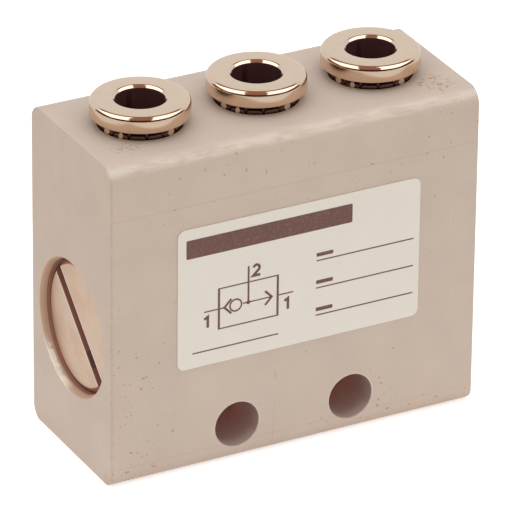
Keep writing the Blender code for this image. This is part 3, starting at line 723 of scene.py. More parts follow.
def plate_finish(sizes, colours):
    """Bright plate over turned brass, brushed round its side, with a dull, darker colour in the
    bore that also paints the bore's shade.
    """
    shader, place = new_shader("bright_plate")
    x, y, z = shader.split(place)
    reach = (x * x + y * y) ** 0.5
    flange_r = half_size("release_ring_1", 0) / MM
    bore_r = ring_bore_radius(sizes) / MM
    rings = shader.noise(shader.join(reach, z), 7.0, 2.0, 0.6)
    dull = shader.noise(place, 0.9, 3.0)
    side = shader.step(reach, flange_r - 0.03, flange_r - 0.01)
    brushed = shader.noise(shader.stretch(place, 0.5, 0.5, 9.0), 1.6, 4.0, 0.65)
    # Bore colour: dull metal, darkened as painted shade
    bore = shader.fall(reach, bore_r + 0.003, bore_r + 0.01)
    tone = (dull - 0.5) * 0.08 + (rings - 0.5) * 0.04 + (brushed - 0.5) * side * 0.16
    base = shader.mix(side, colours.plate, colours.brushed)
    return shader.surface(
        Base_Color=shader.mix(bore, shader.lit(base, tone), colours.bore),
        Metallic=1.0,
        Roughness=(dull - 0.5) * 0.05 + side * 0.08 + bore * 0.32 + 0.10,
        Normal=shader.bump(rings + brushed * side, 0.0012),
    )


def collar_finish(colours):
    """Plate of the fluted collars, painted dark as the shade under the rings' flanges, with painted
    glints on three teeth.
    """
    shader, place = new_shader("dark_plate")
    x, y, z = shader.split(place)
    wear = shader.noise(place, 2.2, 4.0, 0.6)
    heading = shader.math("ARCTAN2", y, x) * math.degrees(1)
    crest = shader.step((x * x + y * y) ** 0.5, 3.36, 3.4)
    rubbed = 0.0
    # Painted glints on three teeth, where the lamps would catch them
    for bearing, half_wide in ((-168.5, 6.0), (-144.0, 3.6), (-70.0, 6.0)):
        oval = ((heading - bearing) / half_wide) ** 2 + ((z - 0.16) / 0.3) ** 2
        rubbed = shader.fall(oval, 0.6, 1.1) + rubbed
    painted_glint = rubbed * crest
    # The collars' dark colour paints the shade under the flanges; worn spots lighten it
    dark = shader.mix(shader.step(wear, 0.55, 0.8) * 0.12, colours.collar, colours.plug)
    return shader.surface(
        Base_Color=shader.mix(painted_glint, dark, colours.brushed),
        Metallic=1.0 - painted_glint * 0.7,
        Roughness=painted_glint * 0.25 + wear * 0.1 + 0.1,
        Normal=shader.bump(wear, 0.004),
    )


def turned_finish(name, base, roughness, axis):
    """Turned metal inside the valve, with rings about its axis."""
    shader, place = new_shader(name)
    along = shader.split(place)[axis]
    rings = shader.noise(shader.join(along), 9.0, 2.0, 0.6)
    dull = shader.noise(place, 1.1, 3.0)
    return shader.surface(
        Base_Color=shader.lit(base, (dull - 0.5) * 0.2),
        Metallic=1.0,
        Roughness=(dull - 0.5) * 0.16 + roughness,
        Normal=shader.bump(rings, 0.004),
    )


def moulded_finish(name, base, roughness, depth):
    """Moulded resin or rubber, with a fine skin."""
    shader, place = new_shader(name)
    skin = shader.noise(place, 14.0, 3.0, 0.6)
    cloud = shader.noise(place, 0.8, 2.0)
    return shader.surface(
        Base_Color=shader.lit(base, (cloud - 0.5) * 0.16),
        Roughness=(skin - 0.5) * 0.16 + roughness,
        Normal=shader.bump(skin, depth),
    )


def resin_finish(name, colours):
    """Moulded resin of the shuttle and the washers."""
    return moulded_finish(name, colours.resin, roughness=0.42, depth=0.004)


def rubber_finish(name, colours):
    """Rubber of the seals."""
    return moulded_finish(name, colours.rubber, roughness=0.5, depth=0.006)


def film_finish(colours):
    """Satin film of the label, with a faint grain and a few specks."""
    shader, place = new_shader("label_film")
    grain = shader.noise(place, 9.0, 3.0)
    cloud = shader.noise(place, 0.3, 2.0)
    dirt = shader.specks(place, 0.8, 0.06, 0.03, 0.07)
    tone = (grain - 0.5) * 0.03 + (cloud - 0.5) * 0.05
    return shader.surface(
        Base_Color=shader.mix(dirt * 0.5, shader.lit(colours.film, tone), colours.stain),
        Roughness=(grain - 0.5) * 0.1 + 0.45,
        Normal=shader.bump(grain, 0.002),
    )


def ink_finish(colours):
    """Printed ink, thin in places so that the film shows through."""
    shader, place = new_shader("label_ink")
    thin = shader.step(shader.noise(place, 3.5, 4.0, 0.65), 0.45, 0.85)
    return shader.surface(
        Base_Color=shader.mix(thin * 0.12, colours.ink, colours.film),
        Roughness=thin * 0.15 + 0.42,
        Normal=shader.bump(thin, 0.002),
    )


def floor_finish(studio):
    """Pale floor that keeps the valve's shadow; the camera sees it lifted to white."""
    shader, place = new_shader("studio_floor")
    seen = shader.node("ShaderNodeLightPath", {}, {}, "Is Camera Ray")
    away = shader.vector("LENGTH", place, output="Value")
    glow = shader.mix(shader.fall(away, 16.0, 80.0), BLACK, studio.floor_glow)
    return shader.surface(
        Base_Color=studio.floor,
        Roughness=0.9,
        Emission_Color=shader.mix(seen, glow, studio.floor_lift),
        Emission_Strength=1.0,
    )


def half_size(node, axis):
    """Half of a frame node's extent along an axis."""
    low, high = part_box(node)
    return (high[axis] - low[axis]) / 2


def middle(node):
    """Middle of a frame node's box."""
    low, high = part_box(node)
    return (low + high) / 2


def block_top():
    """Height of the block's top, from which the ports' pieces are measured."""
    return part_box("body_block")[1].z


def span(node):
    """Lowest and highest point of a frame node over the block's top."""
    low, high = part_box(node)
    return low.z - block_top(), high.z - block_top()


def ring_bore_radius(sizes):
    """Radius of a release ring's bore."""
    return sizes.tube_diameter / 2 + sizes.tube_gap


def stem_radius(sizes):
    """Radius of a release ring's stem."""
    return ring_bore_radius(sizes) + sizes.stem_wall


def bead_radius(sizes):
    """Radius of the bead round a release ring's skirt."""
    return stem_radius(sizes) + sizes.bead_height


def bead_top(sizes):
    """Height of the bead's upper end: as far under the collar's lip as the ring can lift."""
    lift = -min(joint_range("left_ring_press"))
    return span("collar_1")[1] - sizes.collar_lip - lift - sizes.fit_gap


def joint_range(name):
    """Limits of a joint of the frame, in metres."""
    return next(joint["range_m"] for joint in frame["joints"] if joint["name"] == name)


def finish_mesh(name, builder):
    """Mesh from a bmesh, its faces turned outwards."""
    bmesh.ops.recalc_face_normals(builder, faces=builder.faces)
    mesh = bpy.data.meshes.new(name)
    builder.to_mesh(mesh)
    builder.free()
    return mesh


def new_object(name, data, location=(0.0, 0.0, 0.0)):
    """Object in the scene."""
    made = bpy.data.objects.new(name, data)
    made.location = location
    bpy.context.scene.collection.objects.link(made)
    return made


def add_piece(name, mesh, location, materials, body, slot, *nodes):
    """Object for a piece: smooth with crisp edges, riding on its body in place of the nodes."""
    made = new_object(name, mesh, location)
    mesh.shade_smooth()
    mesh.set_sharp_from_angle(angle=SHARP_ANGLE)
    if not mesh.materials:
        for material in materials:
            mesh.materials.append(material)
    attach(made, body)
    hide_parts(*nodes)
    return made


def cut(target, name, mesh, location=(0.0, 0.0, 0.0), rotation=(0.0, 0.0, 0.0)):
    """Take a hidden shape out of a piece."""
    cutter = new_object(name, mesh, location)
    cutter.rotation_euler = rotation
    cutter.hide_render = True
    cutter.hide_viewport = True
    cutter.display_type = "WIRE"
    mesh.shade_smooth()
    step = target.modifiers.new(name, "BOOLEAN")
    step.operation = "DIFFERENCE"
    step.solver = "EXACT"
    step.object = cutter
    return cutter


def add_to_ports(kind, mesh, material, slot, cutter=None, bodies=(VALVE_BODY,) * 3):
    """A like piece in each port, riding on its body, with the cutter's shape taken out of it."""
    pieces = []
    for number, body in enumerate(bodies, start=1):
        node = f"{kind}_{number}"
        spot = (middle(node).x, 0, block_top())
        piece = add_piece(f"{kind}_fine_{number}", mesh, spot, [material], body, slot, node)
        if cutter:
            hollow = cut(piece, f"{cutter.name}_{number}", cutter, spot)
            hollow.parent = frame["bodies"][body]
        pieces.append(piece)
    return pieces


def settle_normals(*pieces):
    """Keep broad faces evenly lit beside their small roundings."""
    for piece in pieces:
        step = piece.modifiers.new("even_faces", "WEIGHTED_NORMAL")
        step.keep_sharp = True
        step.weight = 100


def band(builder, lower, upper):
    """Quads between two closed loops of equally many vertices."""
    faces = []
    for i in range(len(lower)):
        j = (i + 1) % len(lower)
        faces.append(builder.faces.new((lower[i], lower[j], upper[j], upper[i])))
    return faces


def stacked(name, loops):
    """Solid through a stack of closed loops, with a flat cap at each end."""
    builder = bmesh.new()
    rows = [[builder.verts.new(point) for point in loop] for loop in loops]
    for lower, upper in zip(rows, rows[1:]):
        band(builder, lower, upper)
    builder.faces.new(rows[0])
    builder.faces.new(rows[-1])
    return finish_mesh(name, builder)


def prism(name, outline, heights):
    """Solid with upright walls on a flat outline, between two heights."""
    return stacked(name, [[Vector((x, y, z)) for x, y in outline] for z in heights])


def around(radius, share, height):
    """Point at a radius and height, at a share of a full turn round Z."""
    turn = 2 * math.pi * share
    return Vector((radius * math.cos(turn), radius * math.sin(turn), height))


def circle(radius, height, turn):
    """Points of a circle round Z."""
    return [around(radius, i / turn, height) for i in range(turn)]


def turned_solid(name, profile, turn):
    """Solid of revolution round Z from (radius, height) points between its two end faces."""
    return stacked(name, [circle(radius, height, turn) for radius, height in profile])


def turned_ring(name, profile, turn):
    """Ring round Z from the closed outline of its section in (radius, height) points."""
    builder = bmesh.new()
    rows = []
    for i in range(turn):
        spin = Matrix.Rotation(2 * math.pi * i / turn, 3, "Z")
        rows.append([builder.verts.new(spin @ Vector((r, 0.0, z))) for r, z in profile])
    for i in range(turn):
        band(builder, rows[i], rows[(i + 1) % turn])
    return finish_mesh(name, builder)


def arc(centre, radius, start, end, steps=ROUNDING_STEPS):
    """Points of an arc in a plane, angles in degrees."""
    points = []
    for i in range(steps + 1):
        turn = math.radians(start + (end - start) * i / steps)
        points.append((centre[0] + radius * math.cos(turn), centre[1] + radius * math.sin(turn)))
    return points


def rounded_rectangle(width, height, radii, steps=ROUNDING_STEPS):
    """Outline round the origin; radii go from the upper right corner, anticlockwise."""
    outline = []
    for i, radius in enumerate(radii):
        side = 1 if i in (0, 3) else -1
        rise = 1 if i < 2 else -1
        centre = (side * (width / 2 - radius), rise * (height / 2 - radius))
        outline += arc(centre, radius, 90.0 * i, 90.0 * (i + 1), steps)
    return outline


def spoke_cutter(name, spokes, width, reach, bottom, top):
    """Star-shaped prism: narrow arms from the axis outwards, to cut slits."""
    half = width / 2
    valley = half / math.sin(math.pi / spokes)
    outline = []
    for i in range(spokes):
        turn = 2 * math.pi * i / spokes
        spin = Matrix.Rotation(turn, 2)
        outline.append(spin @ Vector((reach, -half)))
        outline.append(spin @ Vector((reach, half)))
        corner = turn + math.pi / spokes
        outline.append((valley * math.cos(corner), valley * math.sin(corner)))
    return prism(name, outline, (bottom, top))


def eased_end(edge, inward, outward):
    """Insets and stations of a small rounding between an end face and the faces beside it."""
    steps = []
    for i in range(EDGE_STEPS + 1):
        turn = math.pi / 2 * i / EDGE_STEPS
        steps.append((edge * (1 - math.sin(turn)), inward + outward * edge * (1 - math.cos(turn))))
    return steps


def block_mesh(sizes):
    """Rounded bar along X, its two ends with a small rounding."""
    half_long = half_size("body_block", 0)
    deep = 2 * half_size("body_block", 1)
    high = 2 * half_size("body_block", 2)
    stations = eased_end(sizes.edge_break, -half_long, 1)
    stations += reversed(eased_end(sizes.edge_break, half_long, -1))
    loops = []
    for inset, x in stations:
        radii = [sizes.top_rounding - inset] * 2 + [sizes.bottom_rounding - inset] * 2
        outline = rounded_rectangle(deep - 2 * inset, high - 2 * inset, radii)
        loops.append([Vector((x, y, z + high / 2)) for y, z in outline])
    return stacked("body_block_fine", loops)


def main_bore_profile(sizes):
    """The hole from the plug's mouth to the far passage, with the fixed seat left standing."""
    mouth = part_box("body_block")[0].x
    thread_r = half_size("end_plug", 1) + sizes.fit_gap
    seal_r = half_size("seat_bush", 1) + sizes.fit_gap
    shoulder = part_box("end_plug")[1].x - sizes.neck_length + sizes.fit_gap
    seat_tip = -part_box("seat_bush")[1].x
    chamber = seat_tip + sizes.seat_height
    seat_r = sizes.seat_bore / 2
    tip_r = seat_r + sizes.seat_lip
    base_r = tip_r + sizes.seat_flare
    chamber_r = base_r + sizes.chamber_margin
    passage_end = middle("release_ring_3").x + sizes.port_drill / 2 + PASSAGE_OVERRUN
    edge = sizes.edge_break
    wide_r = thread_r + sizes.mouth_chamfer
    return [
        (wide_r + edge, mouth - OVERCUT),
        (wide_r + edge, mouth),
        (wide_r + edge * EASED, mouth + edge * EASED),
        (wide_r, mouth + edge),
        (thread_r, mouth + sizes.mouth_depth),
        (thread_r, shoulder),
        (seal_r, shoulder),
        (seal_r, -chamber),
        (chamber_r, -chamber),
        (chamber_r, chamber),
        (base_r, chamber),
        (tip_r, seat_tip),
        (seat_r, seat_tip),
        (seat_r, passage_end),
        (seat_r * POINT_TIP, passage_end + seat_r * POINT_LENGTH),
    ]


def port_profile(sizes):
    """One stepped port hole, from above the block down to the main bore's axis."""
    socket_r = half_size("support_washer_1", 0) + 2 * sizes.fit_gap
    socket_floor = span("support_washer_1")[0] - sizes.fit_gap
    pocket_r = half_size("tube_seal_1", 0) + sizes.fit_gap
    pocket_floor = socket_floor - sizes.seal_cord - 2 * sizes.fit_gap
    stop_r = sizes.tube_diameter / 2 + TUBE_STOP_GAP
    tube_stop = pocket_floor - TUBE_STOP_DEPTH
    drill_r = sizes.port_drill / 2
    edge = sizes.edge_break
    return [
        (socket_r + edge, OVERCUT),
        (socket_r + edge, 0.0),
        (socket_r, -edge),
        (socket_r, socket_floor),
        (pocket_r, socket_floor),
        (pocket_r, pocket_floor),
        (stop_r, pocket_floor),
        (stop_r, tube_stop),
        (drill_r, tube_stop),
        (drill_r, middle("end_plug").z - block_top()),
    ]


def fixing_profile(sizes):
    """Plain cross hole with a small rounding at each mouth."""
    reach = half_size("body_block", 1)
    radius = sizes.fixing_diameter / 2
    edge = sizes.edge_break
    mouth = [
        (radius + edge, reach + OVERCUT),
        (radius + edge, reach),
        (radius + edge * EASED, reach - edge * EASED),
        (radius, reach - edge),
    ]
    return mouth + [(r, -y) for r, y in reversed(mouth)]


def make_block(sizes, colours):
    """The drilled block."""
    block = add_piece(
        "body_block_fine", block_mesh(sizes), (0, 0, 0), [block_finish(sizes, colours)],
        VALVE_BODY, "block_metal", "body_block",
    )
    bore = turned_solid("main_bore", main_bore_profile(sizes), BORE_TURN)
    cut(block, "main_bore", bore, (0, 0, middle("end_plug").z), (0, math.pi / 2, 0))
    port = turned_solid("port_hole", port_profile(sizes), BORE_TURN)
    for number in (1, 2, 3):
        x = middle(f"release_ring_{number}").x
        cut(block, f"port_hole_{number}", port, (x, 0, block_top()))
    hole = turned_solid("fixing_hole", fixing_profile(sizes), SMALL_TURN)
    pitch = middle("release_ring_3").x
    for side, name in ((-1, "fixing_hole_left"), (1, "fixing_hole_right")):
        spot = (side * pitch / 2, 0, sizes.fixing_height)
        cut(block, name, hole, spot, (math.pi / 2, 0, 0))
    settle_normals(block)


def threaded_rows(sizes, radius, start, end):
    """Loops of a fine thread round Z between two stations, its crests at the radius."""
    rows = max(2, round((end - start) / sizes.thread_pitch * THREAD_ROWS))
    loops = []
    for row in range(rows + 1):
        station = start + (end - start) * row / rows
        fade = min(1.0, min(row, rows - row) / THREAD_FADE)
        points = []
        for i in range(BORE_TURN):
            phase = (station / sizes.thread_pitch - i / BORE_TURN) % 1.0
            reach = radius - fade * sizes.thread_depth * (1 - abs(2 * phase - 1))
            points.append(around(reach, i / BORE_TURN, station))
        loops.append(points)
    return loops


def make_end_plug(sizes, colours):
    """Plug with a chamfered slotted face, a thread and a neck with its O-ring's groove."""
    low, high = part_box("end_plug")
    axis_height = middle("end_plug").z
    radius = half_size("end_plug", 1)
    insert_r = half_size("seat_bush", 1)
    ring_low, ring_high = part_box("plug_o_ring")
    groove_r = half_size("plug_o_ring", 1) - (ring_high.x - ring_low.x) - GROOVE_FLOOR_GAP
    face = low.x
    shoulder = high.x - sizes.neck_length
    edge = sizes.edge_break
    chamfer = sizes.plug_chamfer
    loops = [
        circle(radius - chamfer - edge, face, BORE_TURN),
        circle(radius - chamfer, face + edge * EASED, BORE_TURN),
        circle(radius - edge * EASED, face + chamfer - edge * EASED, BORE_TURN),
    ]
    loops += threaded_rows(sizes, radius, face + chamfer + edge, shoulder)
    neck = [
        (insert_r, shoulder),
        (insert_r, ring_low.x - GROOVE_SIDE_GAP),
        (groove_r, ring_low.x - GROOVE_SIDE_GAP),
        (groove_r, ring_high.x + GROOVE_SIDE_GAP),
        (insert_r, ring_high.x + GROOVE_SIDE_GAP),
        (insert_r, high.x),
    ]
    loops += [circle(reach, station, BORE_TURN) for reach, station in neck]
    mesh = stacked("end_plug_fine", loops)
    mesh.transform(Matrix.Rotation(math.pi / 2, 4, "Y"))
    metal = plug_finish(colours, sizes.slot_width / 2 / MM, sizes.slot_tilt)
    plug = add_piece(
        "end_plug_fine", mesh, (0, 0, axis_height), [metal], VALVE_BODY, "plug_metal", "end_plug"
    )

    half_long = radius + OVERCUT
    half_wide = sizes.slot_width / 2
    outline = [
        (half_long, half_wide), (-half_long, half_wide),
        (-half_long, -half_wide), (half_long, -half_wide),
    ]
    slot = prism("driver_slot", outline, (face - OVERCUT, face + sizes.slot_depth))
    slot.transform(Matrix.Rotation(-sizes.slot_tilt, 4, "Z"))
    slot.transform(Matrix.Rotation(math.pi / 2, 4, "Y"))
    cut(plug, "driver_slot", slot, (0, 0, axis_height))
    ease = plug.modifiers.new("rubbed_edges", "BEVEL")
    ease.width = edge * RUBBED_WIDTH
    ease.segments = 2
    ease.limit_method = "ANGLE"
    ease.angle_limit = RUBBED_ANGLE
    ease.harden_normals = False
    settle_normals(plug)


def fluted_circle(teeth, radius, depth, height):
    """Points round Z of wide round-backed teeth with narrow flutes between them."""
    points = []
    for tooth in range(teeth):
        for place, sink in TOOTH_CREST + TOOTH_FLUTE:
            points.append(around(radius - sink * depth, (tooth + place) / teeth, height))
    return points


def make_collars(sizes, colours):
    """Fluted collars pressed into the ports, with a guiding lip inside."""
    bottom, crown = span("collar_1")
    radius = half_size("support_washer_1", 0) + sizes.fit_gap
    chamfer = sizes.collar_chamfer
    flute = sizes.flute_depth
    edge = sizes.edge_break
    stations = (
        (radius - chamfer, flute - chamfer, bottom),
        (radius, flute, bottom + chamfer),
        (radius, flute, 0.0),
        (radius - flute * 0.9, flute * 0.1, crown - edge),
        (radius - flute - edge * EASED, 0.0, crown - edge * EASED),
        (radius - flute - edge, 0.0, crown),
    )
    loops = [fluted_circle(sizes.collar_teeth, *station) for station in stations]
    lip_r = stem_radius(sizes) + sizes.running_gap
    relief_r = bead_radius(sizes) + sizes.bead_gap
    lip_bottom = crown - sizes.collar_lip
    bore = [
        (relief_r, bottom - OVERCUT), (relief_r, lip_bottom), (lip_r, lip_bottom),
        (lip_r, crown - edge), (lip_r + edge, crown), (lip_r + edge, crown + OVERCUT),
    ]
    collars = add_to_ports(
        "collar", stacked("collar_fine", loops), collar_finish(colours), "plated_metal",
        turned_solid("collar_bore", bore, SMALL_TURN),
    )
    settle_normals(*collars)


def ring_section(sizes):
    """Section of a release ring over the block's top: nose, bead, stem, flange and mouth."""
    nose, crown = span("release_ring_1")
    bore_r = ring_bore_radius(sizes)
    stem_r = stem_radius(sizes)
    bead_r = bead_radius(sizes)
    bead_high = bead_top(sizes)
    bead_low = bead_high - sizes.bead_land
    flange_r = half_size("release_ring_1", 0)
    flange_bottom = crown - sizes.flange_thickness
    corner = sizes.flange_break
    root = FLANGE_ROOT
    section = [
        (bore_r, nose),
        (stem_r - sizes.nose_chamfer, nose),
        (stem_r, nose + sizes.nose_chamfer),
        (stem_r, bead_low - sizes.bead_taper),
        (bead_r, bead_low),
        (bead_r, bead_high),
        (stem_r, bead_high),
    ]
    section += arc((stem_r + root, flange_bottom - root), root, 180.0, 90.0, EDGE_STEPS)
    section += arc((flange_r - corner, flange_bottom + corner), corner, -90.0, 0.0, EDGE_STEPS)
    rounding = sizes.flange_rounding
    section += arc((flange_r - rounding, crown - rounding), rounding, 0.0, 90.0)
    rounding, sweep, slope = sizes.mouth_rounding, sizes.mouth_sweep, sizes.mouth_slope
    mouth_r = bore_r + rounding * math.sin(sweep) + slope * math.cos(sweep)
    section += arc((mouth_r, crown - rounding), rounding, 90.0, 90.0 + math.degrees(sweep))
    section.append((bore_r, section[-1][1] - slope * math.sin(sweep)))
    return section


def make_release_rings(sizes, colours):
    """Flanged release rings with slotted skirts."""
    slots = spoke_cutter(
        "skirt_slots", sizes.skirt_slots, sizes.skirt_slot,
        bead_radius(sizes) + sizes.bead_height,
        span("release_ring_1")[0] - OVERCUT, bead_top(sizes) + sizes.skirt_rise,
    )
    rings = add_to_ports(
        "release_ring", turned_ring("release_ring_fine", ring_section(sizes), RING_TURN),
        plate_finish(sizes, colours), "plated_metal", slots, RING_BODIES,
    )
    settle_normals(*rings)


def claw_section(sizes):
    """Section of a gripping claw over the block's top, its fingers sloping down and inwards."""
    crown = span("gripping_claw_1")[1]
    outer_r = half_size("support_washer_1", 0)
    root_r = bead_radius(sizes)
    tip_r = sizes.tube_diameter / 2 - CLAW_BITE
    thick = sizes.claw_thickness
    lean = sizes.claw_slope
    tip_height = crown - (root_r - tip_r) * math.tan(lean)
    under_root_r = root_r + thick * math.tan(lean / 2)
    return [
        (outer_r, crown),
        (root_r, crown),
        (tip_r, tip_height),
        (tip_r + thick * math.sin(lean), tip_height - thick * math.cos(lean)),
        (under_root_r, crown - thick),
        (outer_r, crown - thick),
    ]


def make_claws(sizes, colours):
    """Gripping claws with slit fingers."""
    section = claw_section(sizes)
    heights = [height for radius, height in section]
    slits = spoke_cutter(
        "claw_slits", sizes.claw_fingers, sizes.claw_slit, bead_radius(sizes),
        min(heights) - OVERCUT, max(heights) + OVERCUT,
    )
    add_to_ports(
        "gripping_claw", turned_ring("gripping_claw_fine", section, SMALL_TURN),
        turned_finish("spring_steel", colours.steel, roughness=0.28, axis=2),
        "spring_steel", slits,
    )


def make_washers_and_seals(sizes, colours):
    """Support washers and tube seals at the foot of each cartridge."""
    bottom, crown = span("support_washer_1")
    outer_r = half_size("support_washer_1", 0)
    bore_r = sizes.tube_diameter / 2 + WASHER_GAP
    finger_r, finger_height = claw_section(sizes)[-2]  # under the root of the fingers
    fall = math.tan(sizes.claw_slope)
    cone_start = finger_height - FINGER_ROOM
    washer = [
        (bore_r, bottom),
        (outer_r, bottom),
        (outer_r, crown),
        (finger_r + (crown - cone_start) / fall, crown),
        (bore_r, cone_start - (finger_r - bore_r) * fall),
    ]
    add_to_ports(
        "support_washer", turned_ring("support_washer_fine", washer, SMALL_TURN),
        resin_finish("acetal_resin_washer", colours), "acetal",
    )
    cord_r = sizes.seal_cord / 2
    seal_r = half_size("tube_seal_1", 0) - cord_r
    seal_height = sum(span("tube_seal_1")) / 2
    cord = arc((seal_r, seal_height), cord_r, 0.0, 360.0, CORD_SIDES)[:-1]
    add_to_ports(
        "tube_seal", turned_ring("tube_seal_fine", cord, SMALL_TURN),
        rubber_finish("nitrile_rubber_seal", colours), "nitrile",
    )


def dress_inner_pieces(colours):
    """Finishes of the pieces that stay as the frame gives them."""
    brass = turned_finish("turned_brass", colours.brass, roughness=0.3, axis=0)
    resin = resin_finish("acetal_resin", colours)
    rubber = rubber_finish("nitrile_rubber", colours)
    finishes = {
        "spacer_sleeve": brass,
        "seat_bush": brass,
        "shuttle_core": resin,
        "plug_o_ring": rubber,
        "seat_bush_o_ring": rubber,
        "shuttle_pad_left": rubber,
        "shuttle_pad_right": rubber,
    }
    for name, finish in finishes.items():
        for material_slot in frame["nodes"][name].material_slots:
            material_slot.material = finish


def stroke(points, width):
    """Outline round an open line, with mitred bends and square ends."""
    points = [Vector(point) for point in points]
    runs = [(after - before).normalized() for before, after in zip(points, points[1:])]
    left, right = [], []
    for point, come, leave in zip(points, runs[:1] + runs, runs + runs[-1:]):
        normal = Vector((-(come.y + leave.y), come.x + leave.x)).normalized()
        stretch = 1 / max(MITRE_LIMIT, normal.dot(Vector((-come.y, come.x))))
        offset = normal * (width / 2 * stretch)
        left.append(point + offset)
        right.append(point - offset)
    return left + right[::-1]


def chevron(base, tip, axis, half_high):
    """Bend of an arrow head that points along a level axis."""
    return [(base, axis + half_high), (tip, axis), (base, axis - half_high)]


def print_shapes():
    """Closed outlines of the label's print and the symbol's ball, from the label's middle.

    A header bar, the standard symbol of a shuttle valve with plain port numbers, and ruled fields
    left blank.
    """
    thin, bold = THIN_LINE, BOLD_LINE
    box_left, box_right, box_low, box_high = -7.7, -2.1, -3.4, 0.4
    axis = (box_low + box_high) / 2
    dot_x, dot_r = -4.9, 0.19
    ball_x, ball_r = -6.1, 0.62
    shapes = [rounded(*LABEL_HEADER)]
    shapes += frame_bars(box_left, box_right, box_low, box_high)
    lines = [
        ([(box_left - 1.4, axis), (box_left - bold / 2, axis)], thin),
        ([(box_left + bold / 2, axis), (ball_x - 1.12, axis)], thin),
        ([(ball_x + ball_r + 0.06, axis), (dot_x - dot_r, axis)], thin),
        ([(dot_x + dot_r, axis), (box_right - 0.66, axis)], thin),
        ([(box_right + bold / 2, axis), (box_right + 1.5, axis)], thin),
        ([(dot_x, axis + dot_r), (dot_x, box_high - thin / 2)], STEM_LINE),
        ([(dot_x, box_high + thin / 2), (dot_x, box_high + 1.5)], STEM_LINE),
        (chevron(ball_x - 0.42, ball_x - 1.08, axis, 0.68), bold),
        (chevron(box_right - 1.2, box_right - 0.56, axis, 0.66), bold),
    ]
    shapes += [stroke(points, width) for points, width in lines]
    shapes.append(arc((dot_x, axis), dot_r, 0.0, 360.0, 24)[:-1])
    digits = (
        (1, box_left - 1.05, axis - 0.95),
        (2, dot_x + 0.75, box_high + 0.95),
        (1, box_right + 1.0, axis - 0.95),
    )
    for digit, x, y in digits:
        shapes.append(digit_outline(digit, x, y))
    shapes += [stroke([(x, y), (x + wide, y)], thin) for x, y, wide in LABEL_FIELDS]
    shapes += [rounded(x, y, *CAPTION_BAR) for x, y in LABEL_CAPTIONS]
    return shapes, (ball_x, axis, ball_r)


def rounded(x, y, wide, high, corner):
    """Bar with rounded corners about a middle."""
    return [(u + x, v + y) for u, v in rounded_rectangle(wide, high, (corner,) * 4, 4)]


def frame_bars(left, right, low, high):
    """Four bars that meet at the corners of the symbol's box."""
    inset, overlap = BOLD_LINE / 2, THIN_LINE / 2
    sides = [[(x, low - overlap), (x, high + overlap)] for x in (left, right)]
    rails = [[(left + inset, y), (right - inset, y)] for y in (low, high)]
    bars = [stroke(points, BOLD_LINE) for points in sides]
    return bars + [stroke(points, THIN_LINE) for points in rails]


def digit_outline(digit, x, y):
    """Plain 1 or 2 about a middle."""
    half = DIGIT_HEIGHT / 2
    half_line = DIGIT_LINE / 2
    if digit == 1:
        points = [(-0.6 * half, half * 0.45), (0.0, half - half_line), (0.0, -half)]
    else:
        bowl = arc((0.0, half * 0.42), half * 0.5, 165.0, -40.0, 10)
        points = bowl + [(-half * 0.55, half_line - half), (half * 0.62, half_line - half)]
    return stroke([(u + x, v + y) for u, v in points], DIGIT_LINE)


def print_loop(builder, outline, depth):
    """Vertices of a flat outline in millimetres, at a depth."""
    return [builder.verts.new((x * MM, depth, y * MM)) for x, y in outline]


def add_print(builder, outline, back, front):
    """Closed flat shape of ink in the builder, between two depths."""
    rows = [print_loop(builder, outline, depth) for depth in (back, front)]
    faces = [builder.faces.new(row) for row in rows]
    for face in faces + band(builder, *rows):
        face.material_index = INK_SLOT


def add_ring_print(builder, centre, outer, inner, back, front):
    """Closed flat ring of ink in the builder, between two depths."""
    rows = []
    for radius, depth in ((outer, back), (inner, back), (inner, front), (outer, front)):
        rows.append(print_loop(builder, arc(centre, radius, 0.0, 360.0, BALL_TURN)[:-1], depth))
    for lower, upper in zip(rows, rows[1:] + rows[:1]):
        for face in band(builder, lower, upper):
            face.material_index = INK_SLOT


def make_label(sizes, colours):
    """Film with eased rounded corners and its raised print."""
    low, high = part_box("label")
    spot = (low + high) / 2
    back = high.y - spot.y
    ink_front = low.y - spot.y
    film_front = ink_front + sizes.print_height
    wide, tall = high.x - low.x, high.z - low.z
    builder = bmesh.new()
    rows = []
    for inset, depth in ((0.0, back), (0.0, film_front + FILM_EASE), (FILM_EASE, film_front)):
        radii = (sizes.label_corner - inset,) * 4
        outline = rounded_rectangle(wide - 2 * inset, tall - 2 * inset, radii)
        rows.append([builder.verts.new((x, depth, z)) for x, z in outline])
    for lower, upper in zip(rows, rows[1:]):
        band(builder, lower, upper)
    builder.faces.new(rows[0])
    builder.faces.new(rows[-1])
    sunk = film_front + 0.2 * FILM_EASE
    shapes, (ball_x, ball_y, ball_r) = print_shapes()
    for outline in shapes:
        add_print(builder, outline, sunk, ink_front)
    add_ring_print(builder, (ball_x, ball_y), ball_r, ball_r - BALL_LINE, sunk, ink_front)
    mesh = finish_mesh("label_fine", builder)
    add_piece(
        "label_fine", mesh, spot, [film_finish(colours), ink_finish(colours)], VALVE_BODY,
        "label_film", "label",
    )


def camera_ground_axes(studio):
    """Level directions to the camera's right and toward the camera."""
    turn = -studio.azimuth
    right = Vector((math.cos(turn), math.sin(turn), 0.0))
    toward = Vector((math.sin(turn), -math.cos(turn), 0.0))
    return right, toward


def camera_axes(studio):
    """Right, up and back directions of the camera."""
    level, toward = camera_ground_axes(studio)
    back = toward * math.cos(studio.elevation) + Vector((0.0, 0.0, math.sin(studio.elevation)))
    right = Matrix.Rotation(studio.roll, 3, back) @ level
    return right, back.cross(right), back


def make_camera(studio):
    """Camera at the photograph's angle."""
    right, up, back = camera_axes(studio)
    camera = new_object("camera", bpy.data.cameras.new("camera"))
    place = middle("body_block") + back * studio.distance
    place += right * studio.shift_right - up * studio.shift_down
    turned = Matrix((right, up, back)).transposed()
    camera.matrix_world = Matrix.LocRotScale(place, turned, None)
    camera.data.lens = studio.lens
    camera.data.sensor_width = SENSOR_WIDTH
    camera.data.clip_start = NEAREST
    camera.data.clip_end = FARTHEST
    bpy.context.scene.camera = camera


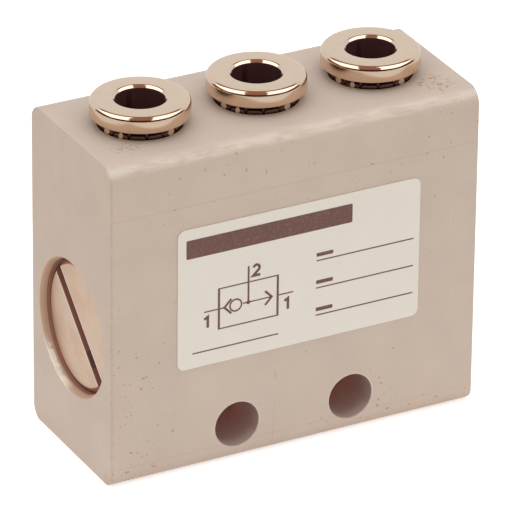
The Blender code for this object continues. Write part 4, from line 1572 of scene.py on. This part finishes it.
def make_panel(studio, name, side):
    """Overhead panel at one side, splayed toward the camera; metal mirrors it, nothing else."""
    right, toward = camera_ground_axes(studio)
    splay = studio.panel_splay
    along = toward * math.cos(splay) + right * side * math.sin(splay)
    across = right * side * math.cos(splay) - toward * math.sin(splay)
    high = studio.panel_height
    wide = studio.panel_width * high
    deep = (studio.panel_front + studio.panel_rear) * high
    data = bpy.data.lights.new(name, "AREA")
    data.shape = "RECTANGLE"
    data.size = wide
    data.size_y = deep
    data.energy = studio.panel_brightness * math.pi * wide * deep
    spot = right * side * studio.panel_gap * high + across * wide / 2
    spot += along * (studio.panel_front - studio.panel_rear) / 2 * high
    spot.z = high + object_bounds()[1].z
    lamp = new_object(name, data, spot)
    lamp.rotation_euler = (0.0, 0.0, side * splay - studio.azimuth)
    lamp.visible_diffuse = False


def make_world(studio):
    """Even light all round; metal mirrors a pale backdrop, a dim ceiling and a dark rim."""
    world = bpy.data.worlds.new("studio")
    bpy.context.scene.world = world
    shader = Shader(world)
    direction = shader.node("ShaderNodeTexCoord", {}, {}, "Generated")
    x, y, z = shader.split(direction)
    right_axis, toward_axis = camera_ground_axes(studio)
    right = shader.math("ABSOLUTE", x * right_axis.x + y * right_axis.y)
    toward = x * toward_axis.x + y * toward_axis.y
    dim = shader.mix(shader.step(z, 0.4, 0.9), studio.wall, studio.ceiling)
    low_front = shader.fall(z, 0.34, 0.74) * shader.step(toward, -0.15, 0.25)
    dim = shader.mix(low_front, dim, studio.horizon)
    behind = shader.step(toward * -1.0 - right * 0.35, 0.0, 0.15) * shader.fall(z, 0.62, 0.7)
    room = shader.mix(behind, dim, studio.backdrop)
    sky = shader.vector("MULTIPLY", studio.sky[:3], (studio.sky_gain,) * 3)
    soft = shader.mix(shader.step(z, 0.15, 0.95), studio.side_light, sky)
    mirrored = shader.node("ShaderNodeLightPath", {}, {}, "Is Glossy Ray")
    seen = shader.node("ShaderNodeLightPath", {}, {}, "Is Camera Ray")
    light = shader.mix(mirrored, soft, room)
    shader.feed(
        shader.tree.nodes["Background"].inputs["Color"],
        shader.mix(seen, light, WHITE),
    )


def make_floor(studio):
    """Broad round floor."""
    builder = bmesh.new()
    bmesh.ops.create_circle(
        builder, cap_ends=True, segments=FLOOR_TURN, radius=FLOOR_RADIUS
    )
    mesh = finish_mesh("floor", builder)
    mesh.materials.append(floor_finish(studio))
    floor = new_object("floor", mesh)
    floor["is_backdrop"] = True


def make_stage(studio):
    """Camera, soft boxes, world and floor."""
    make_camera(studio)
    make_panel(studio, "panel_left", -1)
    make_panel(studio, "panel_right", 1)
    make_world(studio)
    make_floor(studio)
    bpy.context.scene.view_settings.view_transform = "Standard"


class BuildBlock(bpy.types.Operator):
    """Build the drilled block and its blasted finish"""

    bl_idname = "shuttle_valve.block"
    bl_label = "Block"

    def execute(self, context):
        make_block(context.scene.valve_sizes, context.scene.valve_finishes)
        return {"FINISHED"}


class BuildEndPlug(bpy.types.Operator):
    """Build the slotted end plug"""

    bl_idname = "shuttle_valve.end_plug"
    bl_label = "End plug"

    def execute(self, context):
        make_end_plug(context.scene.valve_sizes, context.scene.valve_finishes)
        return {"FINISHED"}


class BuildCollars(bpy.types.Operator):
    """Build the three fluted collars"""

    bl_idname = "shuttle_valve.collars"
    bl_label = "Collars"

    def execute(self, context):
        make_collars(context.scene.valve_sizes, context.scene.valve_finishes)
        return {"FINISHED"}


class BuildReleaseRings(bpy.types.Operator):
    """Build the three release rings"""

    bl_idname = "shuttle_valve.release_rings"
    bl_label = "Release rings"

    def execute(self, context):
        make_release_rings(context.scene.valve_sizes, context.scene.valve_finishes)
        return {"FINISHED"}


class BuildGrips(bpy.types.Operator):
    """Build the claws, support washers and tube seals of the three ports"""

    bl_idname = "shuttle_valve.grips"
    bl_label = "Claws, washers and seals"

    def execute(self, context):
        make_claws(context.scene.valve_sizes, context.scene.valve_finishes)
        make_washers_and_seals(context.scene.valve_sizes, context.scene.valve_finishes)
        return {"FINISHED"}


class DressInnerPieces(bpy.types.Operator):
    """Give the sleeve, bush, shuttle and O-rings their finishes"""

    bl_idname = "shuttle_valve.inner_pieces"
    bl_label = "Inner pieces"

    def execute(self, context):
        dress_inner_pieces(context.scene.valve_finishes)
        return {"FINISHED"}


class BuildLabel(bpy.types.Operator):
    """Build the label with its plain print"""

    bl_idname = "shuttle_valve.label"
    bl_label = "Label"

    def execute(self, context):
        make_label(context.scene.valve_sizes, context.scene.valve_finishes)
        return {"FINISHED"}


class BuildStage(bpy.types.Operator):
    """Build the camera, lamps, world and floor"""

    bl_idname = "shuttle_valve.stage"
    bl_label = "Stage"

    def execute(self, context):
        make_stage(context.scene.valve_studio)
        return {"FINISHED"}


class ValvePanel(bpy.types.Panel):
    """Sidebar list of the valve's pieces, finishes and studio"""

    bl_idname = "SHUTTLEVALVE_PT_looks"
    bl_label = "Shuttle valve"
    bl_space_type = "VIEW_3D"
    bl_region_type = "UI"
    bl_category = "Valve"

    def draw(self, context):
        column = self.layout.column(align=True)
        for operator in OPERATORS:
            column.operator(operator.bl_idname)
        scene = context.scene
        for group in (scene.valve_sizes, scene.valve_finishes, scene.valve_studio):
            box = self.layout.box()
            for name in group.__annotations__:
                box.prop(group, name)


OPERATORS = (
    BuildBlock,
    BuildEndPlug,
    BuildCollars,
    BuildReleaseRings,
    BuildGrips,
    DressInnerPieces,
    BuildLabel,
    BuildStage,
)
GROUPS = (ValveSizes, ValveFinishes, ValveStudio)


def register():
    """Make the groups, operators and panel known to Blender."""
    for kind in GROUPS + OPERATORS + (ValvePanel,):
        bpy.utils.register_class(kind)
    bpy.types.Scene.valve_sizes = bpy.props.PointerProperty(type=ValveSizes)
    bpy.types.Scene.valve_finishes = bpy.props.PointerProperty(type=ValveFinishes)
    bpy.types.Scene.valve_studio = bpy.props.PointerProperty(type=ValveStudio)


def unregister():
    """Take them away again."""
    del bpy.types.Scene.valve_studio
    del bpy.types.Scene.valve_finishes
    del bpy.types.Scene.valve_sizes
    for kind in reversed(GROUPS + OPERATORS + (ValvePanel,)):
        bpy.utils.unregister_class(kind)


def main():
    """Build every piece in order."""
    register()
    bpy.ops.shuttle_valve.block()
    bpy.ops.shuttle_valve.end_plug()
    bpy.ops.shuttle_valve.collars()
    bpy.ops.shuttle_valve.release_rings()
    bpy.ops.shuttle_valve.grips()
    bpy.ops.shuttle_valve.inner_pieces()
    bpy.ops.shuttle_valve.label()
    bpy.ops.shuttle_valve.stage()


if __name__ == "__main__":
    main()
